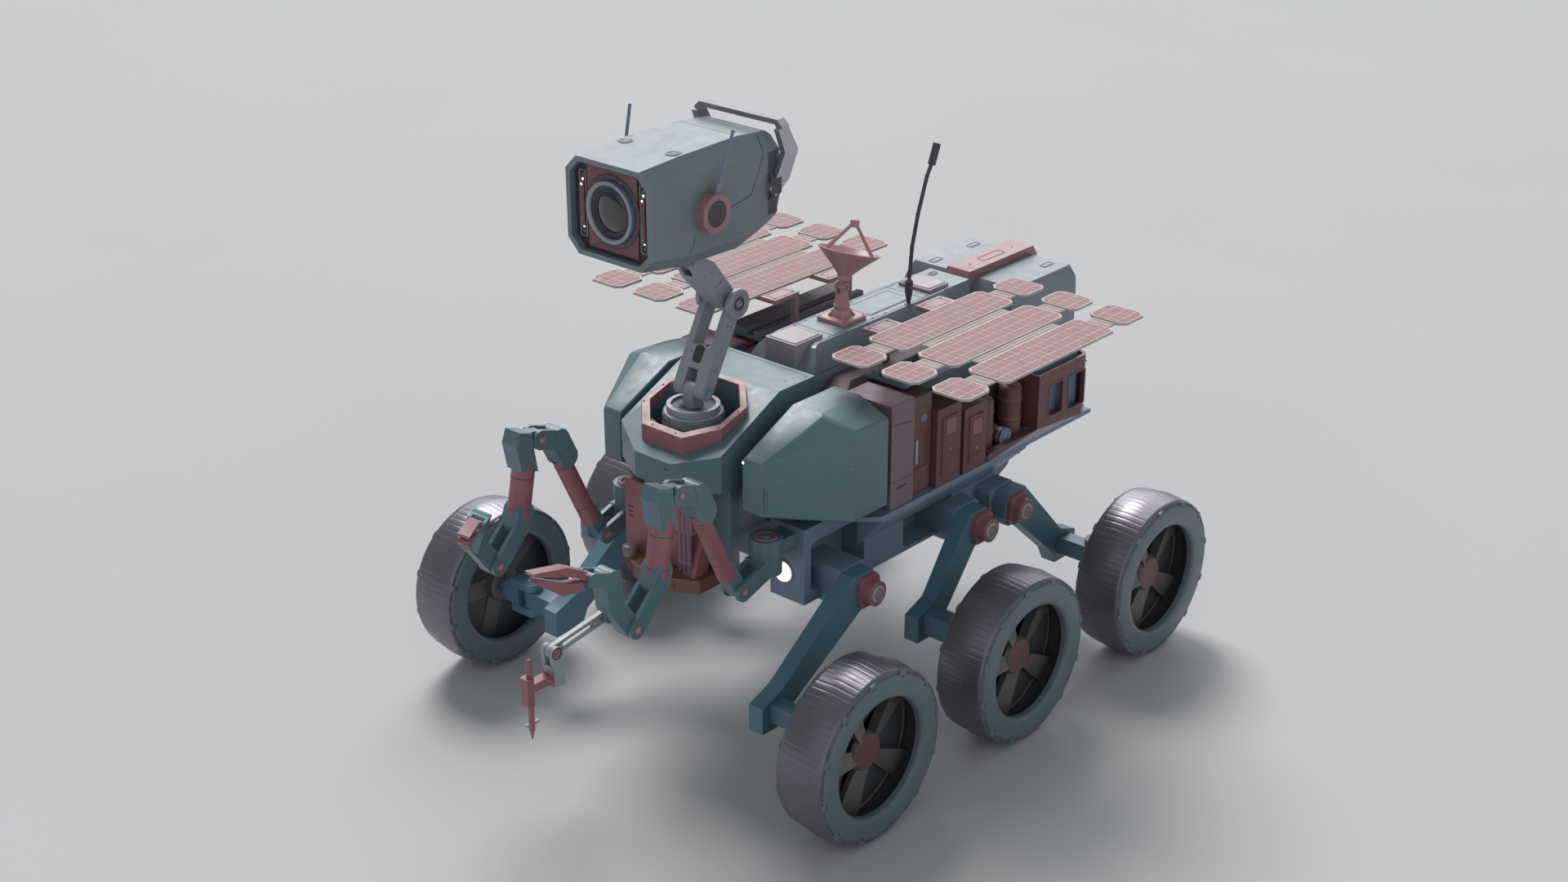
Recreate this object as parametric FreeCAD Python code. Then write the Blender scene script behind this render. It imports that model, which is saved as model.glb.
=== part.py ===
"""Planetary rover: six wheels, rigid suspension legs, camera mast, two arms, dish and solar wings.

Frame: +X forward, +Y the rover's left, +Z up, origin on the ground at the middle of the overall
length and width. The pieces are drawn with x = 0 at the middle axle and moved by ORIGIN_X when saved.
All lengths are in millimetres.
"""
import FreeCAD, Part
import math
import os

V = FreeCAD.Vector

# ---------------------------------------------------------------- driving dimensions
RUN = 0.05            # radial clearance of a running fit
GAP = 0.3             # gap between curved faces that only sit beside each other
PLAY = 1.5            # side play of a moving piece between its cheeks

# overall length
FRONT_TIP = 1426.0
REAR_TIP = -1034.0
ORIGIN_X = (FRONT_TIP + REAR_TIP) / 2

# wheels
WHEEL_R = 260.0
WHEEL_W = 164.0
WHEEL_X = {"front": 690.0, "middle": 0.0, "rear": -690.0}
WHEEL_Y = 736.5
TREAD_T = 24.0          # tread band at its middle
TREAD_CROWN = 8.0       # fall from the tread's middle to its edge
RING_T = 6.0            # side ring
RING_BELOW = 10.0       # ring's edge below the tread's middle
RING_DEPTH = 77.0
TREAD_IN_R = WHEEL_R - TREAD_T
TREAD_EDGE_R = WHEEL_R - TREAD_CROWN
RING_R = WHEEL_R - RING_BELOW
RING_HOLE_R = RING_R - RING_DEPTH
HUB_R = 56.0
AXLE_R = 20.0
SPOKES = 5
SPOKE_HALF = 12.0       # half thickness of a spoke
WEB_T = 5.0             # closing disc behind the spokes
CLIPS = 12

# legs
LEG_IN = 391.0
LEG_OUT = 442.0
LEG_PIVOT_Z = 490.0
FOOT_LOW = WHEEL_R - 54
FOOT_HIGH = WHEEL_R + 28
KING_Y = 560.0        # steering pin
KING_R = 12.0
LUG_R = 26.0
BOSS_OUT = 487.0
EYE_HALF = 28.0       # half height of the steering eye on the leg
CLEVIS_PLAY = 2.0
CLEVIS_HALF = 54.0
COLLAR_OUT = 652.0    # where the stub's collar ends beside the wheel

# chassis
SIDE_IN = 200.0
SIDE_OUT = 330.0
BEAM_FRONT = 450.0
BEAM_LOW = 450.0
BEAM_HIGH = 690.0
FLOOR_LOW = 662.0
FLOOR_HIGH = 676.0
FLOOR_HALF = 420.0
FLOOR_REAR = -837.0
LAMP_Z = 537.0
RACK_TOP = 876.0
TUB_HALF = 237.0
TUB_TOP = 1000.0
TUB_FRONT = 217.0
TRAY_FRONT = 30.0
TRAY_REAR = -465.0
TRAY_OUT = 347.0
SPINE_TOP = 1088.0
SPINE_HALF = 80.0     # half width of the spine's flat top
SPINE_LOW = 128.0     # half width at its foot
HATCH_REAR = 60.0     # front hatch block
HATCH_HALF = 60.0

# hood
HOOD_TOP = 1060.0
HOOD_REAR = 246.0
HOOD_BREAK = 397.0
HOOD_SIDE = 193.0
HOOD_SLOPE = 0.4765
HOOD_LOW = 830.0
HOOD_FRONT = 716.0
COLLAR_FRONT = 678.0
COLLAR_HALF = 155.0

# turret and mast
TURRET_X = 548.0
TURRET_R = 84.0
TURRET_LOW = 952.0
TURRET_TOP = 1020.0
MAST_BASE = (TURRET_X, 1062.0)
MAST_ELBOW = (424.0, 1296.0)
HEAD_PIVOT = (545.0, 1430.0)
MAST_HALF = 55.0      # half width over the mast's two plates
MAST_GAP = 34.0       # half gap between them
TONGUE_HALF = 19.0    # turret's tongue in the mast's fork

# solar wings
WING_Z = 1128.0
WING_T = 8.0
STRIP_FRONT = 78.0
STRIP_REAR = -457.0
END_PANELS = [(131.0, 250.0), (-625.0, -507.0)]
STRIPS = (306.5, 486.0, 663.5)
STRIP_W = 142.0

# arms, in the plane |y| = ARM_Y
ARM_Y = 270.0
ARM_YAW_X = 545.0
ARM_SHOULDER = (669.0, 572.0)
ARM_ELBOW = (905.0, 952.0)
ARM_WRIST = (1083.0, 625.0)
ARM_TUBE1_R = 27.0
ARM_TUBE2_R = 33.0


# ---------------------------------------------------------------- helpers
def box(x0, x1, y0, y1, z0, z1):
    lo = V(min(x0, x1), min(y0, y1), min(z0, z1))
    return Part.makeBox(abs(x1 - x0), abs(y1 - y0), abs(z1 - z0), lo)


def prism_y(points, y0, y1):
    """Polygon of (x, z) points, extruded along Y from y0 to y1."""
    wire = Part.makePolygon([V(x, y0, z) for x, z in points] + [V(points[0][0], y0, points[0][1])])
    return Part.Face(wire).extrude(V(0, y1 - y0, 0))


def prism_z(points, z0, z1):
    """Polygon of (x, y) points, extruded along Z from z0 to z1."""
    wire = Part.makePolygon([V(x, y, z0) for x, y in points] + [V(points[0][0], points[0][1], z0)])
    return Part.Face(wire).extrude(V(0, 0, z1 - z0))


def prism_x(points, x0, x1):
    """Polygon of (y, z) points, extruded along X from x0 to x1."""
    wire = Part.makePolygon([V(x0, y, z) for y, z in points] + [V(x0, points[0][0], points[0][1])])
    return Part.Face(wire).extrude(V(x1 - x0, 0, 0))


def rod(start, end, radius):
    a = V(*start)
    b = V(*end)
    return Part.makeCylinder(radius, (b - a).Length, a, b - a)


def cone(start, end, r0, r1):
    a = V(*start)
    b = V(*end)
    return Part.makeCone(r0, r1, (b - a).Length, a, b - a)


def bar(start, end, depth, y0, y1):
    """Rounded flat bar in the XZ plane between two (x, z) points."""
    dx = end[0] - start[0]
    dz = end[1] - start[1]
    length = math.hypot(dx, dz)
    nx = -dz / length * depth / 2
    nz = dx / length * depth / 2
    pts = [(start[0] + nx, start[1] + nz), (end[0] + nx, end[1] + nz),
           (end[0] - nx, end[1] - nz), (start[0] - nx, start[1] - nz)]
    body = prism_y(pts, y0, y1)
    body = body.fuse(rod((start[0], y0, start[1]), (start[0], y1, start[1]), depth / 2))
    return body.fuse(rod((end[0], y0, end[1]), (end[0], y1, end[1]), depth / 2)).removeSplitter()


def weld(parts):
    """One solid from touching parts, with its seams left in."""
    body = parts[0]
    for part in parts[1:]:
        body = body.fuse(part)
    return body


def join(parts):
    """One solid from touching parts, with its seams removed."""
    body = parts[0]
    for part in parts[1:]:
        body = body.fuse(part)
    return body.removeSplitter()


def cut_above(shape, a, b, c):
    """Removes what lies above the plane through three points."""
    pa = V(*a)
    n = (V(*b) - pa).cross(V(*c) - pa)
    if n.z < 0:
        n = n * -1.0
    n.normalize()
    tool = Part.makeBox(6000, 6000, 3000, V(-3000, -3000, 0))
    tool.Placement = FreeCAD.Placement(pa, FreeCAD.Rotation(V(0, 0, 1), n))
    return shape.cut(tool)


def mirror(shape):
    """The piece's twin on the rover's other side."""
    return shape.mirror(V(0, 0, 0), V(0, 1, 0))


def both(shape):
    return [shape, mirror(shape)]


def eight(x0, x1, y0, y1, c):
    """Rectangle with chamfered corners, as (x, y) points."""
    return [(x0 + c, y0), (x1 - c, y0), (x1, y0 + c), (x1, y1 - c),
            (x1 - c, y1), (x0 + c, y1), (x0, y1 - c), (x0, y0 + c)]


def hood_z(x):
    return HOOD_TOP - HOOD_SLOPE * (x - HOOD_BREAK)


def chamfered(shape, size, picks):
    """Chamfers the straight edges whose middle points are named in picks."""
    edges = []
    for edge in shape.Edges:
        mid = edge.CenterOfMass
        if any((mid - V(*p)).Length < 2.0 for p in picks):
            edges.append(edge)
    return shape.makeChamfer(size, edges) if edges else shape


def solids(parts):
    """Non-touching solids of one node."""
    flat = []
    for part in parts:
        for solid in part.Solids:
            moved = solid.copy()
            moved.translate(V(-ORIGIN_X, 0, 0))
            flat.append(moved)
    return flat[0] if len(flat) == 1 else Part.makeCompound(flat)


NODES = {}


def save(name, parts):
    NODES[name] = solids(parts if isinstance(parts, list) else [parts])


# ---------------------------------------------------------------- wheels
def ring_profile(points, x, y):
    """Revolves (offset along Y, radius) points about the axle at (x, y)."""
    pts = [V(x, y + a, WHEEL_R + r) for a, r in points]
    face = Part.Face(Part.makePolygon(pts + [pts[0]]))
    return face.revolve(V(x, y, WHEEL_R), V(0, 1, 0), 360)


def tyre(x, y):
    half = WHEEL_W / 2 - RING_T - GAP
    top = WHEEL_R
    body = ring_profile([(-half, TREAD_IN_R), (-half, TREAD_EDGE_R - 4), (-half + 10, TREAD_EDGE_R),
                         (0, top), (half - 10, TREAD_EDGE_R), (half, TREAD_EDGE_R - 4),
                         (half, TREAD_IN_R)], x, y)
    return body


def rim(x, y, out):
    """out is +1 or -1, the side that the hub cap faces."""
    half = WHEEL_W / 2
    inner = half - RING_T
    seat = TREAD_IN_R - GAP
    body = ring_profile([(-half, RING_HOLE_R), (-half, RING_R), (-inner, RING_R), (-inner, seat),
                         (inner, seat), (inner, RING_R), (half, RING_R), (half, RING_HOLE_R),
                         (half - 24, RING_HOLE_R), (half - 40, seat - 14),
                         (-half + 40, seat - 14), (-half + 24, RING_HOLE_R)], x, y)
    parts = [body]
    hub_in = y - out * 50.0
    hub_out = y + out * 31.5
    parts.append(rod((x, hub_in, WHEEL_R), (x, hub_out, WHEEL_R), HUB_R))
    for i in range(SPOKES):
        spoke = box(x - 30, x + 30, y - SPOKE_HALF, y + SPOKE_HALF, WHEEL_R + 40, WHEEL_R + seat - 10)
        spoke.rotate(V(x, y, WHEEL_R), V(0, 1, 0), 360.0 * i / SPOKES + 18)
        parts.append(spoke)
    web_out = -out * (SPOKE_HALF - 2)
    web_in = web_out - out * WEB_T
    parts.append(ring_profile([(web_in, HUB_R - 4), (web_in, seat - 10), (web_out, seat - 10),
                               (web_out, HUB_R - 4)], x, y))
    for i in range(CLIPS):
        for side in (-1, 1):
            y0 = y + side * half
            clip = box(x - 11, x + 11, y0, y0 - side * RING_T, WHEEL_R + RING_R - 6, WHEEL_R + RING_R + 4)
            clip.rotate(V(x, y, WHEEL_R), V(0, 1, 0), 360.0 * i / CLIPS + 10)
            parts.append(clip)
    body = join(parts)
    bore = rod((x, hub_in - out, WHEEL_R), (x, y + out * 10.0, WHEEL_R), AXLE_R + RUN)
    return body.cut(bore)


# ---------------------------------------------------------------- legs and steering
LEGS = [  # place, pivot x, direction of the foot
    ("front", 311.0, 1),
    ("middle", -229.0, 1),
    ("rear", -408.0, -1),
]


def leg(place, px, way):
    """One left leg with its foot; the middle foot carries its own axle."""
    x = WHEEL_X[place]
    fx = x + way * 62.0
    reach = [(px - way * 50, LEG_PIVOT_Z + 20), (px - way * 30, LEG_PIVOT_Z + 55),
             (px + way * 50, LEG_PIVOT_Z + 55), (x - way * 20, FOOT_HIGH + 30), (fx, FOOT_HIGH),
             (fx, FOOT_LOW), (x - way * 45, FOOT_LOW), (x - way * 70, FOOT_LOW + 50),
             (px + way * 20, LEG_PIVOT_Z - 60), (px - way * 30, LEG_PIVOT_Z - 55),
             (px - way * 50, LEG_PIVOT_Z - 25)]
    parts = [prism_y(reach, LEG_IN, LEG_OUT)]
    low = WHEEL_R - EYE_HALF
    high = WHEEL_R + EYE_HALF
    if place == "middle":
        parts.append(box(x - 34, x + 34, LEG_OUT - 5, 600, WHEEL_R - 34, WHEEL_R + 34))
        parts.append(rod((x, 595, WHEEL_R), (x, COLLAR_OUT, WHEEL_R), 40))
        parts.append(rod((x, COLLAR_OUT - 2, WHEEL_R), (x, WHEEL_Y + 4, WHEEL_R), AXLE_R))
    else:
        parts.append(box(x - LUG_R, x + LUG_R, LEG_OUT - 5, KING_Y, low, high))
        parts.append(rod((x, KING_Y, low), (x, KING_Y, high), LUG_R))
    body = join(parts)
    if place != "middle":
        body = body.cut(rod((x, KING_Y, low - 30), (x, KING_Y, high + 30), KING_R + RUN))
    return body


def leg_boss(px):
    """Square plate and round cap over the leg's pivot, left side."""
    plate = prism_y([(px - 42, LEG_PIVOT_Z - 30), (px - 30, LEG_PIVOT_Z - 46), (px + 30, LEG_PIVOT_Z - 46),
                     (px + 42, LEG_PIVOT_Z - 30), (px + 42, LEG_PIVOT_Z + 34), (px + 30, LEG_PIVOT_Z + 48),
                     (px - 30, LEG_PIVOT_Z + 48), (px - 42, LEG_PIVOT_Z + 34)], LEG_OUT, LEG_OUT + 18)
    cap = rod((px, LEG_OUT + 10, LEG_PIVOT_Z), (px, BOSS_OUT, LEG_PIVOT_Z), 38)
    tip = rod((px, BOSS_OUT - 5, LEG_PIVOT_Z), (px, BOSS_OUT + 5, LEG_PIVOT_Z), 18)
    return join([plate, cap, tip])


def knuckle(place):
    """Left steering knuckle: clevis, kingpin and stub axle."""
    x = WHEEL_X[place]
    r = LUG_R + 6
    gap = EYE_HALF + CLEVIS_PLAY
    arms = []
    for z0, z1 in ((WHEEL_R - CLEVIS_HALF, WHEEL_R - gap), (WHEEL_R + gap, WHEEL_R + CLEVIS_HALF)):
        arms.append(box(x - r, x + r, KING_Y, KING_Y + 62, z0, z1))
        arms.append(rod((x, KING_Y, z0), (x, KING_Y, z1), r))
    web = box(x - r, x + r, KING_Y + 34, KING_Y + 62, WHEEL_R - CLEVIS_HALF, WHEEL_R + CLEVIS_HALF)
    reach = CLEVIS_HALF - 4
    pin = rod((x, KING_Y, WHEEL_R - reach), (x, KING_Y, WHEEL_R + reach), KING_R)
    collar = rod((x, KING_Y + 60, WHEEL_R), (x, COLLAR_OUT, WHEEL_R), 42)
    axle = rod((x, COLLAR_OUT - 2, WHEEL_R), (x, WHEEL_Y + 4, WHEEL_R), AXLE_R)
    return join(arms + [web, pin, collar, axle])


# ---------------------------------------------------------------- chassis
WINDOWS = [  # x0, x1, z0, z1
    (182.0, 420.0, 482.0, 640.0),
    (-236.0, 0.0, 462.0, 600.0),
]


def side_beam():
    profile = [(BEAM_FRONT, BEAM_LOW), (BEAM_FRONT, BEAM_HIGH), (230, BEAM_HIGH), (230, FLOOR_HIGH - 2),
               (-600, FLOOR_HIGH - 2), (-520, 560), (-300, BEAM_LOW), (200, BEAM_LOW)]
    body = prism_y(profile, SIDE_IN, SIDE_OUT)
    for x0, x1, z0, z1 in WINDOWS:
        hole = prism_y([(x0 + 14, z0), (x1 - 14, z0), (x1, z0 + 14), (x1, z1 - 14),
                        (x1 - 14, z1), (x0 + 14, z1), (x0, z1 - 14), (x0, z0 + 14)],
                       SIDE_OUT - 90, SIDE_OUT + 5)
        body = body.cut(hole)
    return body


def floor_flare():
    """Left sloped side between the beam and the floor's edge, cut back at its rear end."""
    prof = [(SIDE_OUT - 5, 560), (SIDE_OUT, 560), (FLOOR_HALF, FLOOR_LOW - 6), (FLOOR_HALF, FLOOR_LOW + 2),
            (SIDE_OUT - 5, FLOOR_LOW + 2)]
    side = [(214, 540), (214, FLOOR_HIGH), (-490, FLOOR_HIGH), (-490, FLOOR_LOW), (-395, 540)]
    return prism_x(prof, -490, 214).common(prism_y(side, SIDE_OUT - 10, FLOOR_HALF + 1))


def chassis_frame():
    core = box(-560, BEAM_FRONT - 30, -SIDE_IN, SIDE_IN, 520, FLOOR_LOW)
    floor = prism_z([(FLOOR_REAR, -FLOOR_HALF), (214, -FLOOR_HALF), (300, -SIDE_OUT),
                     (BEAM_FRONT, -SIDE_OUT), (BEAM_FRONT, SIDE_OUT), (300, SIDE_OUT),
                     (214, FLOOR_HALF), (FLOOR_REAR, FLOOR_HALF)], FLOOR_LOW, FLOOR_HIGH)
    return join(both(side_beam()) + both(floor_flare()) + [core, floor])


def axle_box(px):
    """Square tube from the window to the leg, left side."""
    z = LEG_PIVOT_Z
    return prism_y([(px - 62, z - 46), (px - 48, z - 60), (px + 48, z - 60), (px + 62, z - 46),
                    (px + 62, z + 46), (px + 48, z + 60), (px - 48, z + 60), (px - 62, z + 46)],
                   SIDE_OUT - 90, LEG_IN)


def side_tray():
    """Left long tray on the tub's shoulder, with two ribs."""
    base = box(TRAY_REAR, TRAY_FRONT, TUB_HALF - 45, TRAY_OUT, TUB_TOP - 8, TUB_TOP + 6)
    ribs = [box(TRAY_REAR, TRAY_FRONT, y0, y1, TUB_TOP, TUB_TOP + 22)
            for y0, y1 in ((TUB_HALF - 18, TUB_HALF + 8), (TUB_HALF + 44, TRAY_OUT))]
    return join([base] + ribs)


def body_tub():
    """The closed middle body between the lockers."""
    prof = [(-TUB_HALF, FLOOR_HIGH), (TUB_HALF, FLOOR_HIGH), (TUB_HALF, TUB_TOP - 40),
            (TUB_HALF - 40, TUB_TOP), (-TUB_HALF + 40, TUB_TOP), (-TUB_HALF, TUB_TOP - 40)]
    side = [(TUB_FRONT, FLOOR_HIGH), (TUB_FRONT, TUB_TOP), (-655, TUB_TOP), (-685, 838), (-800, 838),
            (-820, FLOOR_HIGH)]
    tub = prism_x(prof, -820, TUB_FRONT).common(prism_y(side, -TUB_HALF, TUB_HALF))
    for s in (-1, 1):
        bevel = prism_y([(TUB_FRONT + 1, TUB_TOP - 62), (TUB_FRONT + 1, TUB_TOP + 1), (96, TUB_TOP + 1),
                         (96, TUB_TOP)], s * SPINE_LOW, s * (TUB_HALF + 1))
        tub = tub.cut(bevel)
    core = box(TUB_FRONT - 5, 560, -180, 180, FLOOR_HIGH, HOOD_LOW)
    return join([tub, core] + both(side_tray()))


def headlamp(y):
    return rod((BEAM_FRONT, y, LAMP_Z), (BEAM_FRONT + 10, y, LAMP_Z), 28)


# ---------------------------------------------------------------- hood, nose and fenders
def hood():
    plan = [(HOOD_REAR, -190), (HOOD_BREAK, -190), (644, -HOOD_SIDE), (HOOD_FRONT, -69),
            (HOOD_FRONT, 69), (644, HOOD_SIDE), (HOOD_BREAK, 190), (HOOD_REAR, 190)]
    body = prism_z(plan, HOOD_LOW, HOOD_TOP)
    body = cut_above(body, (HOOD_BREAK, 0, HOOD_TOP), (HOOD_BREAK, 10, HOOD_TOP),
                     (HOOD_FRONT, 0, hood_z(HOOD_FRONT)))
    rear = HOOD_BREAK + 15
    well = prism_z(octagon(COLLAR_FRONT - 22, rear + 16, COLLAR_HALF - 20, 72, 74), TURRET_LOW - 40, 1200)
    well = well.cut(box(300, 800, -200, 200, 800, TURRET_LOW - 60))
    well = well.fuse(rod((TURRET_X, 0, TURRET_LOW - 40), (TURRET_X, 0, HOOD_TOP), TURRET_R + 4))
    seat = rod((TURRET_X, 0, TURRET_LOW - 60), (TURRET_X, 0, TURRET_LOW), TURRET_R - 6)
    return body.cut(well).fuse(seat).removeSplitter()


def octagon(front, rear, half, cut_front, cut_rear):
    """Outline of the well round the turret, as (x, y) points."""
    return [(rear, -half + cut_rear), (rear + cut_rear, -half), (front - cut_front, -half),
            (front, -half + cut_front), (front, half - cut_front), (front - cut_front, half),
            (rear + cut_rear, half), (rear, half - cut_rear)]


def hood_collar():
    """Eight-sided rim round the turret: its top is less steep than the slope it stands on."""
    rear = HOOD_BREAK + 15
    outer = prism_z(octagon(COLLAR_FRONT, rear, COLLAR_HALF, 78, 80), 860, 1100)
    inner = prism_z(octagon(COLLAR_FRONT - 22, rear + 16, COLLAR_HALF - 20, 72, 74), 850, 1110)
    body = outer.cut(inner)
    low_front = hood_z(COLLAR_FRONT) + 50
    body = cut_above(body, (rear, 0, hood_z(rear) + 6), (rear, 10, hood_z(rear) + 6),
                     (COLLAR_FRONT, 0, low_front))
    keep = prism_z([(rear - 9, -200), (760, -200), (760, 200), (rear - 9, 200)], 800, 1200)
    keep = cut_above(keep, (rear, 0, hood_z(rear)), (rear, 10, hood_z(rear)),
                     (COLLAR_FRONT, 0, hood_z(COLLAR_FRONT)))
    body = body.cut(keep)
    steps = []
    for s in (-1, 1):
        plan = [(COLLAR_FRONT - 20, s * 2), (COLLAR_FRONT - 20, s * 80), (COLLAR_FRONT - 56, s * 112),
                (COLLAR_FRONT - 62, s * 96)]
        step = prism_z(plan, low_front - 46, low_front - 8)
        steps.append(step.cut(keep))
    return join([body] + steps)


NOSE_BLOCKS = [  # x0, x1, y0, y1, z0, top at x0, top at x1
    (562.0, 600.0, 64.0, 185.0, 560.0, 829.0, 829.0),
    (562.0, 660.0, -172.0, -62.0, 520.0, 808.0, 776.0),
    (562.0, 688.0, -60.0, 118.0, 690.0, 829.0, 812.0),
    (562.0, 664.0, -58.0, 62.0, 560.0, 690.0, 690.0),
]


def nose_bay():
    """Equipment packed under the hood's lip, in front of the middle body."""
    parts = [box(562, 600, -172, 185, 560, HOOD_LOW)]
    for x0, x1, y0, y1, low, top0, top1 in NOSE_BLOCKS:
        parts.append(prism_y([(x0, low), (x1, low), (x1, top1), (x0, top0)], y0, y1))
    strut = prism_y([(600, 690), (648, 690), (690, 560), (636, 560)], 80, 128)
    tray = prism_z([(562, -150), (690, -150), (740, -60), (740, 60), (690, 150), (562, 150)], 520, 562)
    body = join(parts + [strut, tray])
    for i in range(3):
        z = 800.0 - 12.0 * i
        body = body.cut(box(682, 700, 24, 84, z, z + 5))
    return body


def fender():
    """Left fender: a level rear top, a long slope to the front and bevelled outer sides."""
    y0 = TUB_HALF
    y1 = y0 + 69
    y2 = y0 + 120
    y3 = y0 + 203
    rear = TUB_FRONT
    a1 = (607.0, y0, 937.0)
    a2 = (607.0, y1, 937.0)
    b = (363.0, y3, 1000.0)
    c = (rear, y3, 997.0)
    plan = [(rear, y0), (607, y0), (607, y1), (363, y3), (rear, y3)]
    body = prism_z(plan, 720, 1036)
    body = cut_above(body, (398, y0, 1036), (398, y2, 1036), a1)
    body = cut_above(body, (398, y2, 1036), (rear + 8, y0 + 98, 1036), b)
    body = cut_above(body, (398, y2, 1036), a2, b)
    body = cut_above(body, (rear + 8, y0 + 98, 1036), b, c)
    under = prism_y([(200, 700), (363, 718), (607, 780), (640, 700)], y0 - 20, y3 + 20)
    return body.cut(under)


# ---------------------------------------------------------------- side equipment
LOCKER_BLOCKS = [  # x0, x1, outer y, top z
    (66.0, 170.0, 412.0, 1000.0),
    (-30.0, 64.0, 398.0, 985.0),
    (-150.0, -36.0, 418.0, 924.0),
    (-277.0, -167.0, 418.0, 885.0),
]


def locker():
    """Left side lockers between the fender and the open bay."""
    y0 = TUB_HALF + 1
    parts = [box(x0, x1, y0, y1, FLOOR_HIGH, top) for x0, x1, y1, top in LOCKER_BLOCKS]
    parts.append(box(-300, 170, y0, 380, FLOOR_HIGH, 870))
    for x0, x1, y1, top in LOCKER_BLOCKS[2:]:
        parts.append(box(x0 + 22, x1 - 22, y1 - 2, y1 + 6, FLOOR_HIGH + 30, top - 30))
    body = join(parts)
    body = body.cut(box(-24, 56, 392, 400, 756, 872))
    grip = box(32, 44, 388, 402, 776, 852)
    return join([body, grip])


RACK_WINDOWS = [  # x0, x1, z0, z1
    (-668.0, -600.0, 724.0, 826.0),
    (-786.0, -704.0, 716.0, 826.0),
]


def rack():
    """Left open rack: an open-topped tray behind the bay, its walls round a clear middle."""
    y0 = TUB_HALF + 1
    out = FLOOR_HALF
    wall = 12.0
    bend = 34.0
    plan = [(-541, y0), (-541, out), (-812 + bend, out), (-812, out - bend), (-812, y0)]
    hollow = [(-541 - wall, y0 - 5), (-541 - wall, out - wall), (-812 + bend, out - wall),
              (-812 + wall, out - bend), (-812 + wall, y0 - 5)]
    body = prism_z(plan, FLOOR_HIGH, RACK_TOP)
    corner = rod((-812 + bend, out - bend, FLOOR_HIGH), (-812 + bend, out - bend, RACK_TOP), bend)
    core = rod((-812 + bend, out - bend, 600), (-812 + bend, out - bend, 1000), bend - wall)
    body = body.fuse(corner).cut(prism_z(hollow, FLOOR_HIGH + 14, 1000)).cut(core.common(
        box(-900, -500, 0, 500, FLOOR_HIGH + 14, 1000)))
    for x0, x1, z0, z1 in RACK_WINDOWS:
        body = body.cut(box(x0, x1, out - wall - 6, out + 6, z0, z1))
    rail = box(-541, -302, out - 24, out, FLOOR_HIGH, 700)
    back = box(-690, -302, y0, 300, FLOOR_HIGH, RACK_TOP - 16)
    case = box(-784, -563, y0 + 14, out - 28, FLOOR_HIGH, RACK_TOP + 34)
    return join([body, rail, back, case])


def tanks():
    """Left bay: two upright cylinders and one that lies across the front."""
    parts = [rod((x, 352, FLOOR_HIGH), (x, 352, 842), 36) for x in (-340, -484)]
    drum = rod((-412, 330, FLOOR_HIGH + 32), (-412, 392, FLOOR_HIGH + 32), 30)
    parts.append(join([drum, box(-434, -390, 332, 390, FLOOR_HIGH, FLOOR_HIGH + 16)]))
    return parts


# ---------------------------------------------------------------- deck
def deck_spine():
    """Raised ridge along the deck, with a pocket at its front and a low pad for a payload."""
    prof = [(-SPINE_LOW, TUB_TOP), (-SPINE_HALF - 32, SPINE_TOP - 34), (-SPINE_HALF, SPINE_TOP),
            (SPINE_HALF, SPINE_TOP), (SPINE_HALF + 32, SPINE_TOP - 34), (SPINE_LOW, TUB_TOP)]
    side = [(-491, TUB_TOP), (190, TUB_TOP), (176, TUB_TOP + 26), (128, SPINE_TOP - 8), (104, SPINE_TOP),
            (-491, SPINE_TOP)]
    ridge = prism_x(prof, -491, 200).common(prism_y(side, -200, 200))
    tail = prism_x([(-90, TUB_TOP), (-78, SPINE_TOP), (78, SPINE_TOP), (90, TUB_TOP)], -624, -490)
    payload_pad = box(-370, -170, -50, 50, SPINE_TOP - 2, SPINE_TOP + 2)
    body = join([ridge, tail, payload_pad])
    return body.cut(box(HATCH_REAR, 300, -HATCH_HALF, HATCH_HALF, TUB_TOP - 5, SPINE_TOP + 50))


def deck_hatches():
    top = SPINE_TOP + 10
    front = box(HATCH_REAR, 182, -HATCH_HALF, HATCH_HALF, TUB_TOP, top)
    rear = prism_z(eight(-540, -438, -62, 64, 5), SPINE_TOP, top)
    return [front, rear]


MOUNT_SPANS = [  # x0, x1, x of the post
    (-98.0, 13.0, -86.0),
    (-352.0, -235.0, -338.0),
]


def solar_mounts():
    """Bracket plates level with the wings, each on one post from the tray's rib."""
    parts = []
    for x0, x1, xp in MOUNT_SPANS:
        plate = box(x0, x1, 170, STRIPS[0] - 20, WING_Z - 10, WING_Z)
        lip = box(x0, x1, 170, STRIPS[0] - STRIP_W / 2 - 2, WING_Z - 1, WING_Z + 4)
        post = box(xp - 9, xp + 9, 170, 188, TUB_TOP, WING_Z - 5)
        parts.append(join([plate, lip, post]))
    out = []
    for part in parts:
        out.extend(both(part))
    return out


def rear_box():
    prof = [(-704, 1067), (-996, 1067), (-1017, 1029), (-1022, 974), (-1022, 860), (-990, 840), (-692, 840),
            (-664, 1000), (-680, 1040)]
    across = [(-214, 830), (214, 830), (214, 1022), (202, 1068), (-202, 1068), (-214, 1022)]
    return prism_y(prof, -214, 214).common(prism_x(across, -1030, -660))


def rear_strap():
    outer = [(-672, 1092), (-1012, 1092), (-1034, 1062), (-1034, 850), (-1010, 850), (-1010, 1050),
             (-700, 1050), (-655, 1000), (-626, 1000), (-642, 1050)]
    return prism_y(outer, -46, 46).cut(rear_box())


# ---------------------------------------------------------------- dish and whip
DISH_X = -95.0
DISH_TURN_Z = 1124.0   # top of the fixed foot
DISH_PIVOT_Z = 1190.0
DISH_SLOT = 8.0
DISH_LEAN = 17.0       # the bowl looks up and back


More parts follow.
